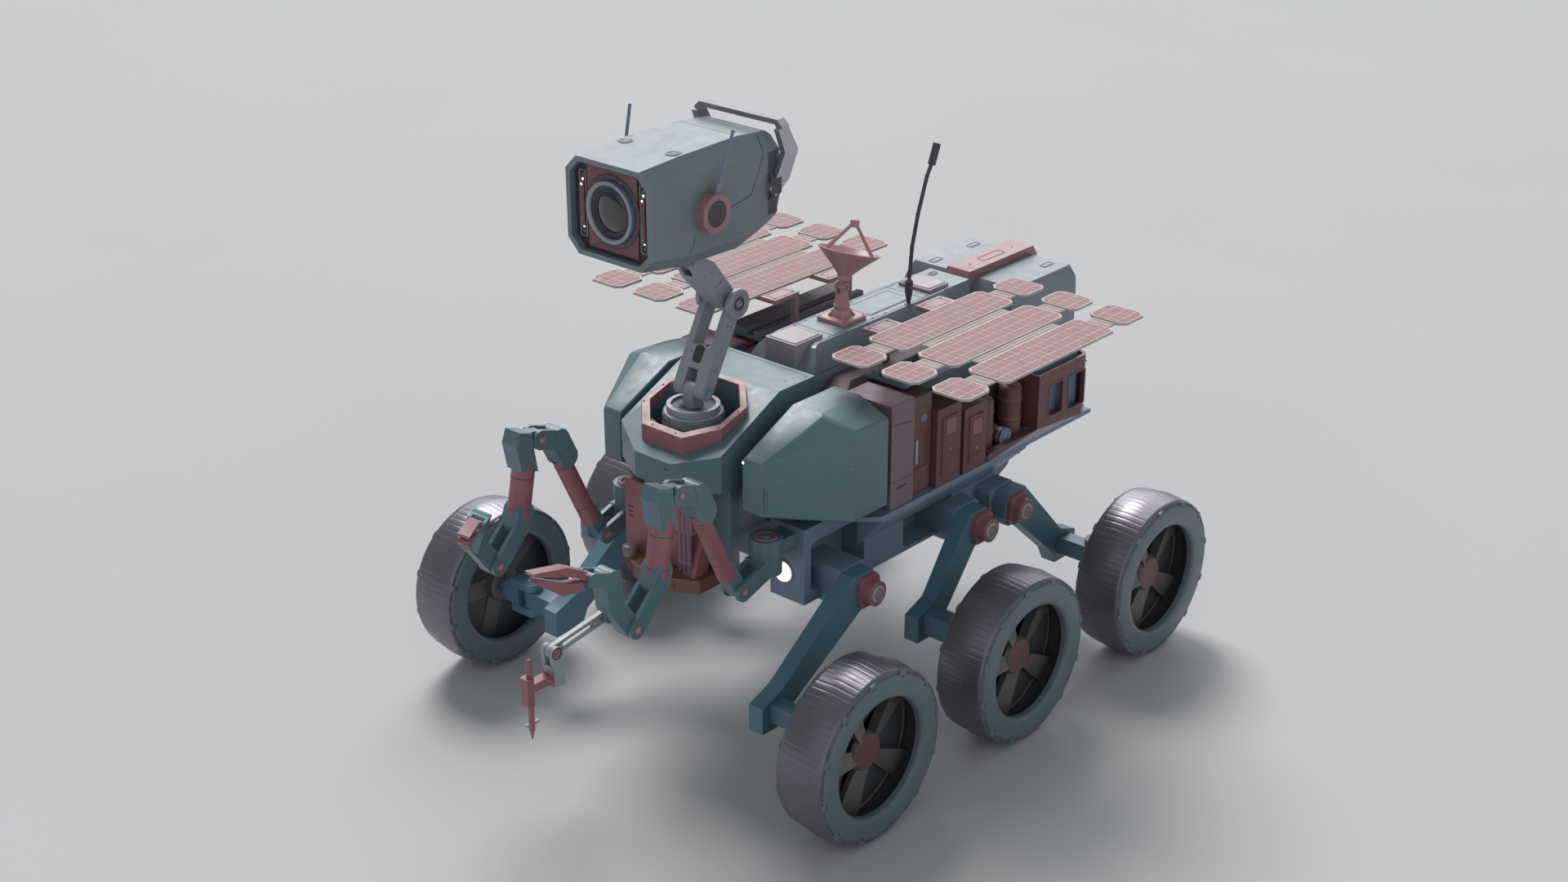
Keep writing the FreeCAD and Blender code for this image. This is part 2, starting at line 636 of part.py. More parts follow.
def dish_base():
    plate = prism_z(eight(DISH_X - 56, DISH_X + 56, -56, 56, 8), SPINE_TOP, SPINE_TOP + 12)
    top = SPINE_TOP + 12
    post = cone((DISH_X, 0, top), (DISH_X, 0, DISH_TURN_Z), 32, 24)
    pin = rod((DISH_X, 0, DISH_TURN_Z - 4), (DISH_X, 0, DISH_TURN_Z + 18), 9)
    ribs = []
    for i in range(4):
        rib = prism_y([(DISH_X, top - 1), (DISH_X + 42, top - 1), (DISH_X + 24, DISH_TURN_Z - 2),
                       (DISH_X, DISH_TURN_Z - 2)], -5, 5)
        rib.rotate(V(DISH_X, 0, 0), V(0, 0, 1), 45 + 90.0 * i)
        ribs.append(rib)
    return join([plate, post, pin] + ribs)


def dish_yoke():
    """Turning neck: a slender column that forks at the tilt pin."""
    z = DISH_PIVOT_Z
    neck = cone((DISH_X, 0, DISH_TURN_Z + 2), (DISH_X, 0, z - 22), 23, 18)
    fork = rod((DISH_X, 0, z - 24), (DISH_X, 0, z), 18)
    ends = rod((DISH_X, -18, z), (DISH_X, 18, z), 15)
    body = join([neck, fork, ends])
    body = body.cut(box(DISH_X - 30, DISH_X + 30, -DISH_SLOT, DISH_SLOT, z - 18, z + 40))
    body = join([body, rod((DISH_X, -17, z), (DISH_X, 17, z), 5)])
    return body.cut(rod((DISH_X, 0, DISH_TURN_Z), (DISH_X, 0, DISH_TURN_Z + 20), 9 + RUN))


BOWL = [  # radius, height over the tilt pin, outer line up and inner line down
    (0, 19), (19, 19), (20, 34), (46, 62), (94, 106), (91, 109), (44, 72), (14, 54), (0, 52),
]
DISH_LEGS = (132.0, 300.0, 324.0)   # angles of the feed's struts


def dish_bowl():
    z = DISH_PIVOT_Z
    half = DISH_SLOT - PLAY / 2
    lug = rod((DISH_X, -half, z), (DISH_X, half, z), 12)
    stem = box(DISH_X - 9, DISH_X + 9, -half, half, z + 8, z + 21)
    face = Part.Face(Part.makePolygon([V(DISH_X + r, 0, z + h) for r, h in BOWL + [BOWL[0]]]))
    bowl = face.revolve(V(DISH_X, 0, z), V(0, 0, 1), 360)
    parts = [lug, stem, bowl]
    for angle in DISH_LEGS:
        a = math.radians(angle)
        foot = (DISH_X + 76 * math.cos(a), 76 * math.sin(a), z + 96)
        parts.append(rod(foot, (DISH_X + 8 * math.cos(a), 8 * math.sin(a), z + 186), 5))
    parts.append(rod((DISH_X, 0, z + 180), (DISH_X, 0, z + 200), 14))
    body = join(parts).cut(rod((DISH_X, -40, z), (DISH_X, 40, z), 5 + RUN))
    body.rotate(V(DISH_X, 0, z), V(0, 1, 0), -DISH_LEAN)
    return body


def whip():
    """Rod antenna on a tapered foot beside the ridge's middle, bent back, with a thick tip."""
    x, y = -323.0, 74.0
    foot = cone((x, y, SPINE_TOP), (x, y, SPINE_TOP + 40), 5, 12)
    sleeve = rod((x, y, SPINE_TOP + 39), (x, y, SPINE_TOP + 76), 12)
    points = [(x, y, SPINE_TOP + 70), (-334, y, 1269), (-359, y, 1367), (-398, y, 1477), (-420, y, 1512)]
    parts = [foot, sleeve]
    for a, b in zip(points[:-1], points[1:]):
        parts.append(rod(a, b, 6))
        parts.append(Part.makeSphere(7, V(*b)))
    parts.append(rod((-418, y, 1506), (-443, y, 1568), 12))
    return join(parts)


# ---------------------------------------------------------------- solar wings
def solar_wing():
    """Three long strips with a small panel at each end, joined by lower webs and tabs."""
    z0 = WING_Z
    z1 = WING_Z + WING_T
    web = 3.0
    half = STRIP_W / 2
    small = half - 5
    parts = []
    for y in STRIPS:
        parts.append(prism_z(eight(STRIP_REAR, STRIP_FRONT, y - half, y + half, 16), z0, z1))
        for x0, x1 in END_PANELS:
            parts.append(prism_z(eight(x0, x1, y - small, y + small, 18), z0, z1))
        parts.append(box(STRIP_FRONT - 8, END_PANELS[0][0] + 8, y - 38, y + 38, z0, z1 - web))
        parts.append(box(END_PANELS[1][1] - 8, STRIP_REAR + 8, y - 38, y + 38, z0, z1 - web))
    parts.append(box(-383, 2, STRIPS[0], STRIPS[2], z0, z1 - web))
    return join(parts)


# ---------------------------------------------------------------- turret and mast
def turret():
    """Turntable with a raised rim and the tongue that the mast's fork straddles."""
    x = TURRET_X
    base = rod((x, 0, TURRET_LOW + GAP), (x, 0, TURRET_TOP - 22), TURRET_R)
    rim = rod((x, 0, TURRET_TOP - 24), (x, 0, TURRET_TOP), TURRET_R - 8)
    rim = rim.cut(rod((x, 0, TURRET_TOP - 8), (x, 0, TURRET_TOP + 5), TURRET_R - 20))
    bx, bz = MAST_BASE
    tongue = bar((bx, bz), (bx, TURRET_TOP - 12), 46, -TONGUE_HALF, TONGUE_HALF)
    pin = rod((bx, -MAST_HALF + 6, bz), (bx, MAST_HALF - 6, bz), 10)
    return join([base, rim, tongue, pin])


def mast_arm():
    """Lower mast arm: one block that forks at both ends, over the turret's tongue and at the elbow."""
    b = MAST_BASE
    e = MAST_ELBOW

    def at(t):
        return (b[0] + (e[0] - b[0]) * t, b[1] + (e[1] - b[1]) * t)

    body = bar(b, e, 48, -MAST_HALF, MAST_HALF)
    upper = prism_y([(at(0.46)[0] - 80, at(0.46)[1] - 42), (at(0.46)[0] + 80, at(0.46)[1] + 42),
                     (e[0] + 90, e[1] + 100), (e[0] - 130, e[1] + 60)], -MAST_GAP, MAST_GAP)
    body = body.cut(upper)
    low = bar((b[0] + 6, b[1] - 40), at(0.13), 64, -TONGUE_HALF - PLAY, TONGUE_HALF + PLAY)
    body = body.cut(low)
    pin = rod((e[0], -MAST_HALF, e[1]), (e[0], MAST_HALF, e[1]), 11)
    parts = [body, pin]
    for y0, y1 in ((-MAST_HALF - 9, -MAST_HALF + 4), (MAST_HALF - 4, MAST_HALF + 9)):
        parts.append(rod((e[0], y0, e[1]), (e[0], y1, e[1]), 42).cut(
            rod((e[0], y0 - 20, e[1]), (e[0], y1 + 20, e[1]), 10)))
    body = join(parts)
    return body.cut(rod((b[0], -80, b[1]), (b[0], 80, b[1]), 10 + RUN))


def mast_neck():
    """Elbow link between the lower arm and the head: a wide block that tapers to the elbow."""
    e = MAST_ELBOW
    h = HEAD_PIVOT
    half = MAST_GAP - PLAY
    eye = rod((e[0], -half, e[1]), (e[0], half, e[1]), 30)
    link = prism_y([(e[0] - 26, e[1] + 14), (e[0] + 66, e[1] + 134), (h[0] - 8, h[1] + 26),
                    (h[0] + 26, h[1] - 4), (h[0] + 8, h[1] - 40), (e[0] + 20, e[1] - 22)], -half, half)
    top = rod((h[0], -half, h[1]), (h[0], half, h[1]), 26)
    body = join([eye, link, top])
    body = body.cut(box(h[0] - 62, h[0] + 40, -HEAD_LUG - PLAY, HEAD_LUG + PLAY, h[1] - 30, h[1] + 60))
    body = join([body, rod((h[0], -half + 4, h[1]), (h[0], half - 4, h[1]), 9)])
    return body.cut(rod((e[0], -70, e[1]), (e[0], 70, e[1]), 11 + RUN))


HEAD_LUG = 16.0       # half width of the lug that the head hangs on
HEAD_FRONT = 852.0
HEAD_Z = 1649.0
HEAD_W = 156.0
HEAD_H = 135.0
HEAD_C = 40.0
HEAD_STATIONS = [  # x, half width, top z, bottom z, corner cut
    (852.0, 156.0, 1784.0, 1514.0, 40.0),
    (700.0, 158.0, 1794.0, 1492.0, 42.0),
    (480.0, 156.0, 1798.0, 1486.0, 46.0),
    (364.0, 146.0, 1788.0, 1520.0, 40.0),
    (318.0, 120.0, 1764.0, 1564.0, 34.0),
]
EAR = (638.0, 1637.0)
LOOP_POST = [(330, 1806), (288, 1730), (325, 1656), (380, 1618), (404, 1644), (372, 1676), (342, 1731),
             (368, 1798)]


def head_section(x, half_w, top, low, c):
    pts = [(-half_w + c, top), (half_w - c, top), (half_w, top - c), (half_w, low + c),
           (half_w - c, low), (-half_w + c, low), (-half_w, low + c), (-half_w, top - c)]
    return Part.makePolygon([V(x, y, z) for y, z in pts + [pts[0]]])


def head_hull():
    parts = []
    for a, b in zip(HEAD_STATIONS[:-1], HEAD_STATIONS[1:]):
        parts.append(Part.makeLoft([head_section(*a), head_section(*b)], True, True))
    return join(parts)


def head_shell():
    body = head_hull()
    edge = (HEAD_W - 14, HEAD_Z + HEAD_H - 14, HEAD_Z - HEAD_H + 14, HEAD_C - 6)
    recess = Part.Face(head_section(HEAD_FRONT + 1, *edge)).extrude(V(-31, 0, 0))
    body = body.cut(recess)
    h = HEAD_PIVOT
    lug = bar(h, (h[0] + 6, h[1] + 60), 36, -HEAD_LUG, HEAD_LUG)
    chin = prism_y([(455, 1500), (470, 1478), (h[0] + 30, h[1] + 46), (h[0] + 88, h[1] + 40), (690, 1500)],
                   -52, 52)
    foot = join([lug, chin]).cut(rod((h[0], -40, h[1]), (h[0], 40, h[1]), 9 + RUN))
    return weld([body, foot] + handle_loop() + ears())


def handle_loop():
    """Guard rail round the head's back: a top bar and two bent posts."""
    posts = [prism_y(LOOP_POST, y0, y1) for y0, y1 in ((-162, -144), (144, 162))]
    top = prism_x([(-162, 1796), (-162, 1806), (-144, 1822), (144, 1822), (162, 1806), (162, 1796),
                   (144, 1796), (136, 1808), (-136, 1808), (-144, 1796)], 326, 356)
    return posts + [top]


def ears():
    """Round side caps on the head, each with a stub and a thin aerial."""
    x, z = EAR
    parts = []
    for s in (-1, 1):
        y = s * HEAD_W
        cap = rod((x, y - s * 12, z), (x, y + s * 31, z), 52)
        parts.append(cap.cut(rod((x, y + s * 26, z), (x, y + s * 40, z), 36)))
        parts.append(rod((x - 8, y + s * 20, z + 46), (x - 20, y + s * 20, z + 74), 8))
        parts.append(rod((x - 18, y + s * 20, z + 68), (x - 62, y + s * 34, z + 214), 4.5))
    return parts


def head_face():
    """Dark face plate with the lens barrel, two broad panels and two upright lamp bars."""
    x = HEAD_FRONT - 30
    plate = Part.Face(head_section(x, HEAD_W - 14.5, HEAD_Z + HEAD_H - 14.5, HEAD_Z - HEAD_H + 14.5,
                                   HEAD_C - 6)).extrude(V(10, 0, 0))
    centre = HEAD_Z + 2
    panel = box(x + 8, x + 13, -92, 92, centre - 112, centre + 112)
    barrel = rod((x + 8, 0, centre), (x + 28, 0, centre), 84)
    barrel = barrel.cut(rod((x + 16, 0, centre), (x + 40, 0, centre), 74))
    lamps = [box(x + 8, x + 15, s * 112 - 7, s * 112 + 7, centre - 62, centre + 62) for s in (-1, 1)]
    return join([plate, panel, barrel] + lamps)


# ---------------------------------------------------------------- arms (left; the right is its mirror image)
def arm_mount():
    """Fixed drum in front of the chassis beam, under the turning shoulder."""
    x = ARM_YAW_X
    plate = box(BEAM_FRONT, x, ARM_Y - 34, ARM_Y + 34, 640, 676)
    drum = rod((x, ARM_Y, 640), (x, ARM_Y, 690), 48)
    pin = rod((x, ARM_Y, 600), (x, ARM_Y, 642), 12)
    return join([plate, drum, pin])


def arm_shoulder():
    x = ARM_YAW_X
    s = ARM_SHOULDER
    cup = rod((x, ARM_Y, 580), (x, ARM_Y, 638), 46)
    cheeks = [bar((x + 20, 606), s, 56, ARM_Y + y0, ARM_Y + y0 + 13) for y0 in (-34, 21)]
    block = box(x, x + 50, ARM_Y - 34, ARM_Y + 34, 582, 630)
    pin = rod((s[0], ARM_Y - 34, s[1]), (s[0], ARM_Y + 34, s[1]), 10)
    body = join([cup, block, pin] + cheeks)
    return body.cut(rod((x, ARM_Y, 560), (x, ARM_Y, 650), 12 + RUN))


def arm_lower():
    s = ARM_SHOULDER
    e = ARM_ELBOW
    half = 21 - PLAY
    foot = bar(s, (716, 660), 44, ARM_Y - half, ARM_Y + half)
    tube = rod((705, ARM_Y, 625), (815, ARM_Y, 862), ARM_TUBE1_R)
    knee = bar((806, 866), (836, 930), 66, ARM_Y - 30, ARM_Y + 30)
    cheeks = [bar((840, 930), e, 58, ARM_Y + y0, ARM_Y + y0 + 12) for y0 in (-30, 18)]
    pin = rod((e[0], ARM_Y - 30, e[1]), (e[0], ARM_Y + 30, e[1]), 10)
    body = join([foot, tube, knee, pin] + cheeks)
    return body.cut(rod((s[0], ARM_Y - 50, s[1]), (s[0], ARM_Y + 50, s[1]), 10 + RUN))


def arm_upper():
    e = ARM_ELBOW
    w = ARM_WRIST
    half = 18 - PLAY
    tongue = bar(e, (955, 960), 50, ARM_Y - half, ARM_Y + half)
    head = prism_y([(940, 985), (985, 1000), (1000, 960), (985, 880), (925, 865), (935, 930)],
                   ARM_Y - 30, ARM_Y + 30)
    tube = rod((950, ARM_Y, 890), (981, ARM_Y, 735), ARM_TUBE2_R)
    cuff = bar((978, 752), (990, 716), 62, ARM_Y - 30, ARM_Y + 30)
    cheeks = [bar((992, 716), w, 52, ARM_Y + y0, ARM_Y + y0 + 12) for y0 in (-32, 20)]
    pin = rod((w[0], ARM_Y - 32, w[1]), (w[0], ARM_Y + 32, w[1]), 9)
    body = join([tongue, head, tube, cuff, pin] + cheeks)
    return body.cut(rod((e[0], ARM_Y - 50, e[1]), (e[0], ARM_Y + 50, e[1]), 10 + RUN))


JAW_PIVOT = (1226.0, 826.0)
HAND_ROOT = (1150.0, 720.0)
HAND_BEND = -35.4     # the right hand is lowered on its forearm,
HAND_ROLL = -84.0     # rolled about its own line,
HAND_TWIST = 99.8     # and turned inwards about the forearm


def hand_pose(shape):
    """Moves a piece of the left hand's twin to the right hand's pose on its forearm."""
    base = V(HAND_ROOT[0], -ARM_Y, HAND_ROOT[1])
    wrist = V(ARM_WRIST[0], -ARM_Y, ARM_WRIST[1])
    jaw = V(JAW_PIVOT[0], -ARM_Y, JAW_PIVOT[1])
    shape.rotate(jaw, jaw - base, HAND_ROLL)
    shape.rotate(base, V(0, -1, 0), HAND_BEND)
    shape.rotate(wrist, base - wrist, HAND_TWIST)
    return shape


def forearm_hand():
    """Palm and jaw cheeks of the left hand."""
    mid = bar(HAND_ROOT, (HAND_ROOT[0] + 10, 800), 56, ARM_Y - 26, ARM_Y + 26)
    palm = bar((HAND_ROOT[0] + 10, 800), (HAND_ROOT[0] + 30, 808), 44, ARM_Y - 26, ARM_Y + 26)
    cheeks = [bar((HAND_ROOT[0] + 34, 810), JAW_PIVOT, 40, ARM_Y + y0, ARM_Y + y0 + 8) for y0 in (-26, 18)]
    pin = rod((JAW_PIVOT[0], ARM_Y - 26, JAW_PIVOT[1]), (JAW_PIVOT[0], ARM_Y + 26, JAW_PIVOT[1]), 7)
    return join([mid, palm, pin] + cheeks)


def arm_forearm(hand, side):
    w = ARM_WRIST
    y = side * ARM_Y
    half = 20 - PLAY
    low = bar(w, HAND_ROOT, 54, y - half, y + half)
    body = join([low, hand])
    return body.cut(rod((w[0], y - 50, w[1]), (w[0], y + 50, w[1]), 9 + RUN))


def tool_pin():
    """Stub on the left forearm's inner side that carries the slotted link."""
    r = TOOL_ROOT
    spacer = rod((r[0], ARM_Y - 15, r[1]), (r[0], TOOL_Y + 8 + PLAY, r[1]), 15)
    stub = rod((r[0], ARM_Y - 15, r[1]), (r[0], TOOL_Y - 8 - PLAY, r[1]), 8)
    head = rod((r[0], TOOL_Y - 8 - PLAY, r[1]), (r[0], TOOL_Y - 8 - PLAY - 4, r[1]), 13)
    return [spacer, stub, head]


JAW_UPPER = [(10, 26), (80, 66), (195, 92), (190, 80), (90, 44), (14, 6)]
JAW_LOWER = [(10, 0), (80, 18), (180, 68), (188, 60), (100, -8), (12, -24)]


def arm_jaw(upper):
    """One gripper finger; its root takes half of the width between the cheeks."""
    px, pz = JAW_PIVOT
    y0, y1 = (1.0, 17.0) if upper else (-17.0, -1.0)
    pts = JAW_UPPER if upper else JAW_LOWER
    finger = prism_y([(px + x, pz + z) for x, z in pts], ARM_Y - 16, ARM_Y + 16)
    finger = finger.cut(rod((px, ARM_Y - 20, pz), (px, ARM_Y + 20, pz), 30))
    root = bar((px, pz), (px + 38, pz + (24 if upper else -4)), 16, ARM_Y + y0, ARM_Y + y1)
    eye = rod((px, ARM_Y + y0, pz), (px, ARM_Y + y1, pz), 17)
    body = join([eye, root, finger])
    return body.cut(rod((px, ARM_Y - 50, pz), (px, ARM_Y + 50, pz), 7 + RUN))


TOOL_Y = 232.0
TOOL_ROOT = (1140.0, 668.0)
TOOL_JOINT = (1328.0, 641.0)
DRILL_X = 1400.0


def tool_link():
    """Slotted link beside the left forearm."""
    r = TOOL_ROOT
    j = TOOL_JOINT
    body = bar(r, j, 34, TOOL_Y - 8, TOOL_Y + 8)
    slot = bar((r[0] + 50, r[1] - 7), (j[0] - 40, j[1] + 6), 12, TOOL_Y - 10, TOOL_Y + 10)
    body = body.cut(slot)
    body = body.cut(rod((r[0], TOOL_Y - 10, r[1]), (r[0], TOOL_Y + 10, r[1]), 8 + RUN))
    return body.cut(rod((j[0], TOOL_Y - 10, j[1]), (j[0], TOOL_Y + 10, j[1]), 8 + RUN))


def drill():
    """Hanger, clamp and drill rod at the end of the slotted link."""
    j = TOOL_JOINT
    half = 8 + PLAY
    cheeks = [bar(j, (1322, 604), 36, TOOL_Y + y0, TOOL_Y + y1) for y0, y1 in ((-22, -half), (half, 22))]
    pin = rod((j[0], TOOL_Y - 22, j[1]), (j[0], TOOL_Y + 22, j[1]), 8)
    block = prism_y([(1302, 596), (1342, 604), (1340, 545), (1304, 541)], TOOL_Y - 22, TOOL_Y + 22)
    clamp = box(1335, DRILL_X + 20, TOOL_Y - 14, TOOL_Y + 14, 556, 580)
    slide = box(DRILL_X + 3, DRILL_X + 26, TOOL_Y - 14, TOOL_Y + 14, 520, 600)
    rod_up = rod((DRILL_X + 6, TOOL_Y, 645), (DRILL_X + 6, TOOL_Y, 440), 8)
    tip = cone((DRILL_X + 6, TOOL_Y, 445), (DRILL_X + 6, TOOL_Y, 414), 7, 2)
    cross = box(DRILL_X - 18, DRILL_X + 26, TOOL_Y - 4, TOOL_Y + 4, 456, 464)
    return join(cheeks + [pin, block, clamp, slide, rod_up, tip, cross])


def build():
    for place in ("front", "middle", "rear"):
        x = WHEEL_X[place]
        for side, s in (("left", 1), ("right", -1)):
            save("tyre_%s_%s" % (place, side), tyre(x, s * WHEEL_Y))
            save("rim_%s_%s" % (place, side), rim(x, s * WHEEL_Y, s))
    for place in ("front", "rear"):
        k = knuckle(place)
        save("knuckle_%s_left" % place, k)
        save("knuckle_%s_right" % place, mirror(k))
    legs = [leg(*row) for row in LEGS]
    save("suspension_legs", legs + [mirror(p) for p in legs])
    caps = [leg_boss(row[1]) for row in LEGS]
    save("leg_caps", caps + [mirror(p) for p in caps])
    frame = chassis_frame()
    save("chassis_frame", frame)
    boxes = [axle_box(row[1]).cut(frame) for row in LEGS]
    save("axle_boxes", boxes + [mirror(p) for p in boxes])
    save("body_tub", body_tub())
    save("headlamps", both(headlamp(253)))
    save("hood", hood())
    save("hood_collar", hood_collar())
    save("nose_bay", nose_bay())
    save("fenders", both(fender()))
    save("side_lockers", both(locker()))
    save("side_racks", both(rack()))
    cans = tanks()
    save("tanks", cans + [mirror(p) for p in cans])
    save("deck_spine", deck_spine())
    save("deck_hatches", deck_hatches())
    save("solar_mounts", solar_mounts())
    save("rear_box", rear_box())
    save("rear_strap", rear_strap())
    save("dish_base", dish_base())
    save("dish_yoke", dish_yoke())
    save("dish_bowl", dish_bowl())
    save("whip_antenna", whip())
    wing = solar_wing()
    save("solar_left", wing)
    save("solar_right", mirror(wing))
    save("turret", turret())
    save("mast_arm", mast_arm())
    save("mast_neck", mast_neck())
    save("head_shell", head_shell())
    save("head_face", head_face())
    mounts = arm_mount()
    save("arm_mounts", both(mounts))
    for name, maker in (("shoulder", arm_shoulder), ("lower", arm_lower), ("upper", arm_upper)):
        piece = maker()
        save("arm_left_" + name, piece)
        save("arm_right_" + name, mirror(piece))
    save("arm_left_forearm", join([arm_forearm(forearm_hand(), 1)] + tool_pin()))
    save("arm_right_forearm", arm_forearm(hand_pose(mirror(forearm_hand())), -1))
    for name, upper in (("upper", True), ("lower", False)):
        save("jaw_%s_left" % name, arm_jaw(upper))
        save("jaw_%s_right" % name, hand_pose(mirror(arm_jaw(upper))))
    save("tool_link", tool_link())
    save("drill", drill())


build()
os.makedirs("parts", exist_ok=True)
for name, shape in NODES.items():
    shape.exportStep("parts/%s.step" % name)
    print("%-22s solids %d valid %s volume %.2f L" % (name, len(shape.Solids), shape.isValid(),
                                                     shape.Volume / 1e6))
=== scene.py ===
import math

import bmesh
import bpy
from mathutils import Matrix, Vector
from mathutils.bvhtree import BVHTree


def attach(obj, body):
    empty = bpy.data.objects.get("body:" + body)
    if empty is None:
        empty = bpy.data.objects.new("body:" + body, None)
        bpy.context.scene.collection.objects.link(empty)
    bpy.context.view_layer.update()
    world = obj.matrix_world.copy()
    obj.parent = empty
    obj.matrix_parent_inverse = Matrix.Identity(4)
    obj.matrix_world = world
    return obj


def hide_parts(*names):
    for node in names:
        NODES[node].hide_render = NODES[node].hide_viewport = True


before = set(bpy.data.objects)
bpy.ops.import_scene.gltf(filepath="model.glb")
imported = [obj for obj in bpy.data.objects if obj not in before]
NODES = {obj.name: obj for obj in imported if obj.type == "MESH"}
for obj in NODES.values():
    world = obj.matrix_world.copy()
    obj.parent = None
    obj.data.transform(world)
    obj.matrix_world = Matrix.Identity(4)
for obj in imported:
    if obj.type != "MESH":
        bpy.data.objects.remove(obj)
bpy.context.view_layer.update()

# Lengths below are millimetres in the drawing's frame; the saved frame starts 196 mm further forward.
ORIGIN_X = 196.0
X = Vector((1, 0, 0))
Y = Vector((0, 1, 0))
Z = Vector((0, 0, 1))
DOWN = (0, 0, -1)
SIDES = (("left", 1), ("right", -1))
FLANKS = ((1, (0, -1, 0)), (-1, (0, 1, 0)))  # each side with its way in
SINK = 0.4  # how far a small piece reaches into the surface that it sits on
CELL_X = 28.0
CELL_Y = 34.5


def at(x, y, z):
    return Vector(((x - ORIGIN_X) / 1000.0, y / 1000.0, z / 1000.0))


def filled(thing, **props):
    """Sets several properties of one thing."""
    for key, value in props.items():
        setattr(thing, key, value)
    return thing


def shown(name, data):
    """A new object in the scene."""
    ob = bpy.data.objects.new(name, data)
    bpy.context.scene.collection.objects.link(ob)
    return ob


# ---- materials
class Nodes:
    """A short way to write a node tree."""

    def __init__(self, name):
        self.mat = bpy.data.materials.new(name)
        self.mat.use_nodes = True
        self.tree = self.mat.node_tree
        self.tree.nodes.clear()
        out = self.add("ShaderNodeOutputMaterial")
        self.bsdf = self.add("ShaderNodeBsdfPrincipled")
        self.put(self.bsdf.outputs[0], out.inputs[0])
        self.place = self.add("ShaderNodeTexCoord").outputs["Object"]

    def add(self, kind, **props):
        return filled(self.tree.nodes.new(kind), **props)

    def put(self, value, socket):
        """Links a socket to another node's output, or gives it a plain value."""
        if isinstance(value, bpy.types.NodeSocket):
            self.tree.links.new(value, socket)
        else:
            socket.default_value = value

    def step(self, kind, output, values, **props):
        """One node with its inputs filled, as one of its outputs."""
        node = self.add(kind, **props)
        for key, value in values.items():
            self.put(value, node.inputs[key])
        return node.outputs[output]

    def surface(self, **values):
        """Inputs of the surface itself; an underscore stands for a space."""
        for key, value in values.items():
            self.put(value, self.bsdf.inputs[key.replace("_", " ")])

    def noise(self, scale, detail=3.0, rough=0.5, place=None):
        return self.step("ShaderNodeTexNoise", "Fac", {
            "Vector": place or self.place, "Scale": scale, "Detail": detail, "Roughness": rough})

    def range(self, value, a, b, c, d):
        """Maps a..b to c..d."""
        return self.step("ShaderNodeMapRange", "Result", {
            "Value": value, "From Min": a, "From Max": b, "To Min": c, "To Max": d})

    def mix(self, factor, a, b):
        return self.step("ShaderNodeMix", "Result", {"Factor": factor, "A": a, "B": b}, data_type="RGBA")

    def fade(self, value, low, high, share, a, b):
        """From a towards b, by a share at most, as a value rises from low to high."""
        return self.mix(self.range(value, low, high, 0.0, share), a, b)

    def scaled(self, x, y, z):
        return self.step("ShaderNodeMapping", "Vector", {"Vector": self.place, "Scale": (x, y, z)})

    def bump(self, height, strength, distance):
        self.surface(Normal=self.step("ShaderNodeBump", "Normal", {
            "Strength": strength, "Distance": distance, "Height": height}))

    def edge(self, radius):
        """0 on flats, rising to 1 along outer edges."""
        bevel = self.step("ShaderNodeBevel", 0, {"Radius": radius}, samples=4)
        flat = self.add("ShaderNodeNewGeometry").outputs["True Normal"]
        dot = self.step("ShaderNodeVectorMath", "Value", {0: bevel, 1: flat}, operation="DOT_PRODUCT")
        return self.range(dot, 0.985, 0.80, 0.0, 1.0)


def rgb(color, k=1.0):
    return (*(min(part * k, 1.0) for part in color), 1.0)


def paint(name, color, rough, worn_edge_and_highlight=None, metal=0.0, coat=0.0):
    """Sprayed metal: cloudy tone, faint streaks, orange peel, dust, and pale rubbed edges: partly worn
    paint, partly a painted highlight along the bevels.
    """
    n = Nodes(name)
    cloud = n.noise(4.0, 5.0, 0.6)
    tone = n.fade(cloud, 0.3, 0.7, 1.0, rgb(color, 0.92), rgb(color, 1.06))
    streak = n.noise(1.0, 4.0, 0.7, n.scaled(55.0, 55.0, 6.0))
    tone = n.fade(streak, 0.58, 0.80, 0.28, tone, rgb(color, 0.70))
    specks = n.noise(420.0, 2.0)
    tone = n.fade(specks, 0.68, 0.80, 0.4, tone, rgb(color, 0.75))
    # Pale edges from the bevel mask: worn paint, and also a painted highlight along every edge.
    if worn_edge_and_highlight:
        patches = n.range(n.noise(38.0, 5.0, 0.7), 0.36, 0.60, 0.0, 0.55)
        rub_and_highlight = n.step("ShaderNodeMath", 0, {0: n.edge(0.0035), 1: patches}, operation="MULTIPLY")
        tone = n.mix(rub_and_highlight, tone, rgb(worn_edge_and_highlight))
    smear = n.range(n.noise(24.0, 4.0, 0.6), 0.3, 0.7, rough - 0.06, rough + 0.08)
    n.surface(Base_Color=tone, Roughness=smear, Metallic=metal, Coat_Weight=coat, Coat_Roughness=0.25)
    n.bump(n.noise(700.0, 2.0), 0.10, 0.0004)
    return n.mat


def brushed(name, color, rough, along, spread=0.12, metal=0.85, relief=0.03):
    """Bare metal with fine lines along one axis and duller patches."""
    n = Nodes(name)
    lines = n.noise(1.0, 3.0, 0.7, n.scaled(*along))
    cloud = n.noise(9.0, 5.0, 0.6)
    tone = n.fade(lines, 0.35, 0.65, 1.0, rgb(color, 1.0 - spread), rgb(color, 1.0 + spread))
    tone = n.fade(cloud, 0.52, 0.78, 0.4, tone, rgb(color, 0.62))
    dull = n.range(cloud, 0.3, 0.7, rough - 0.05, rough + 0.10)
    n.surface(Base_Color=tone, Roughness=dull, Metallic=metal)
    n.bump(lines, relief, 0.0003)
    return n.mat


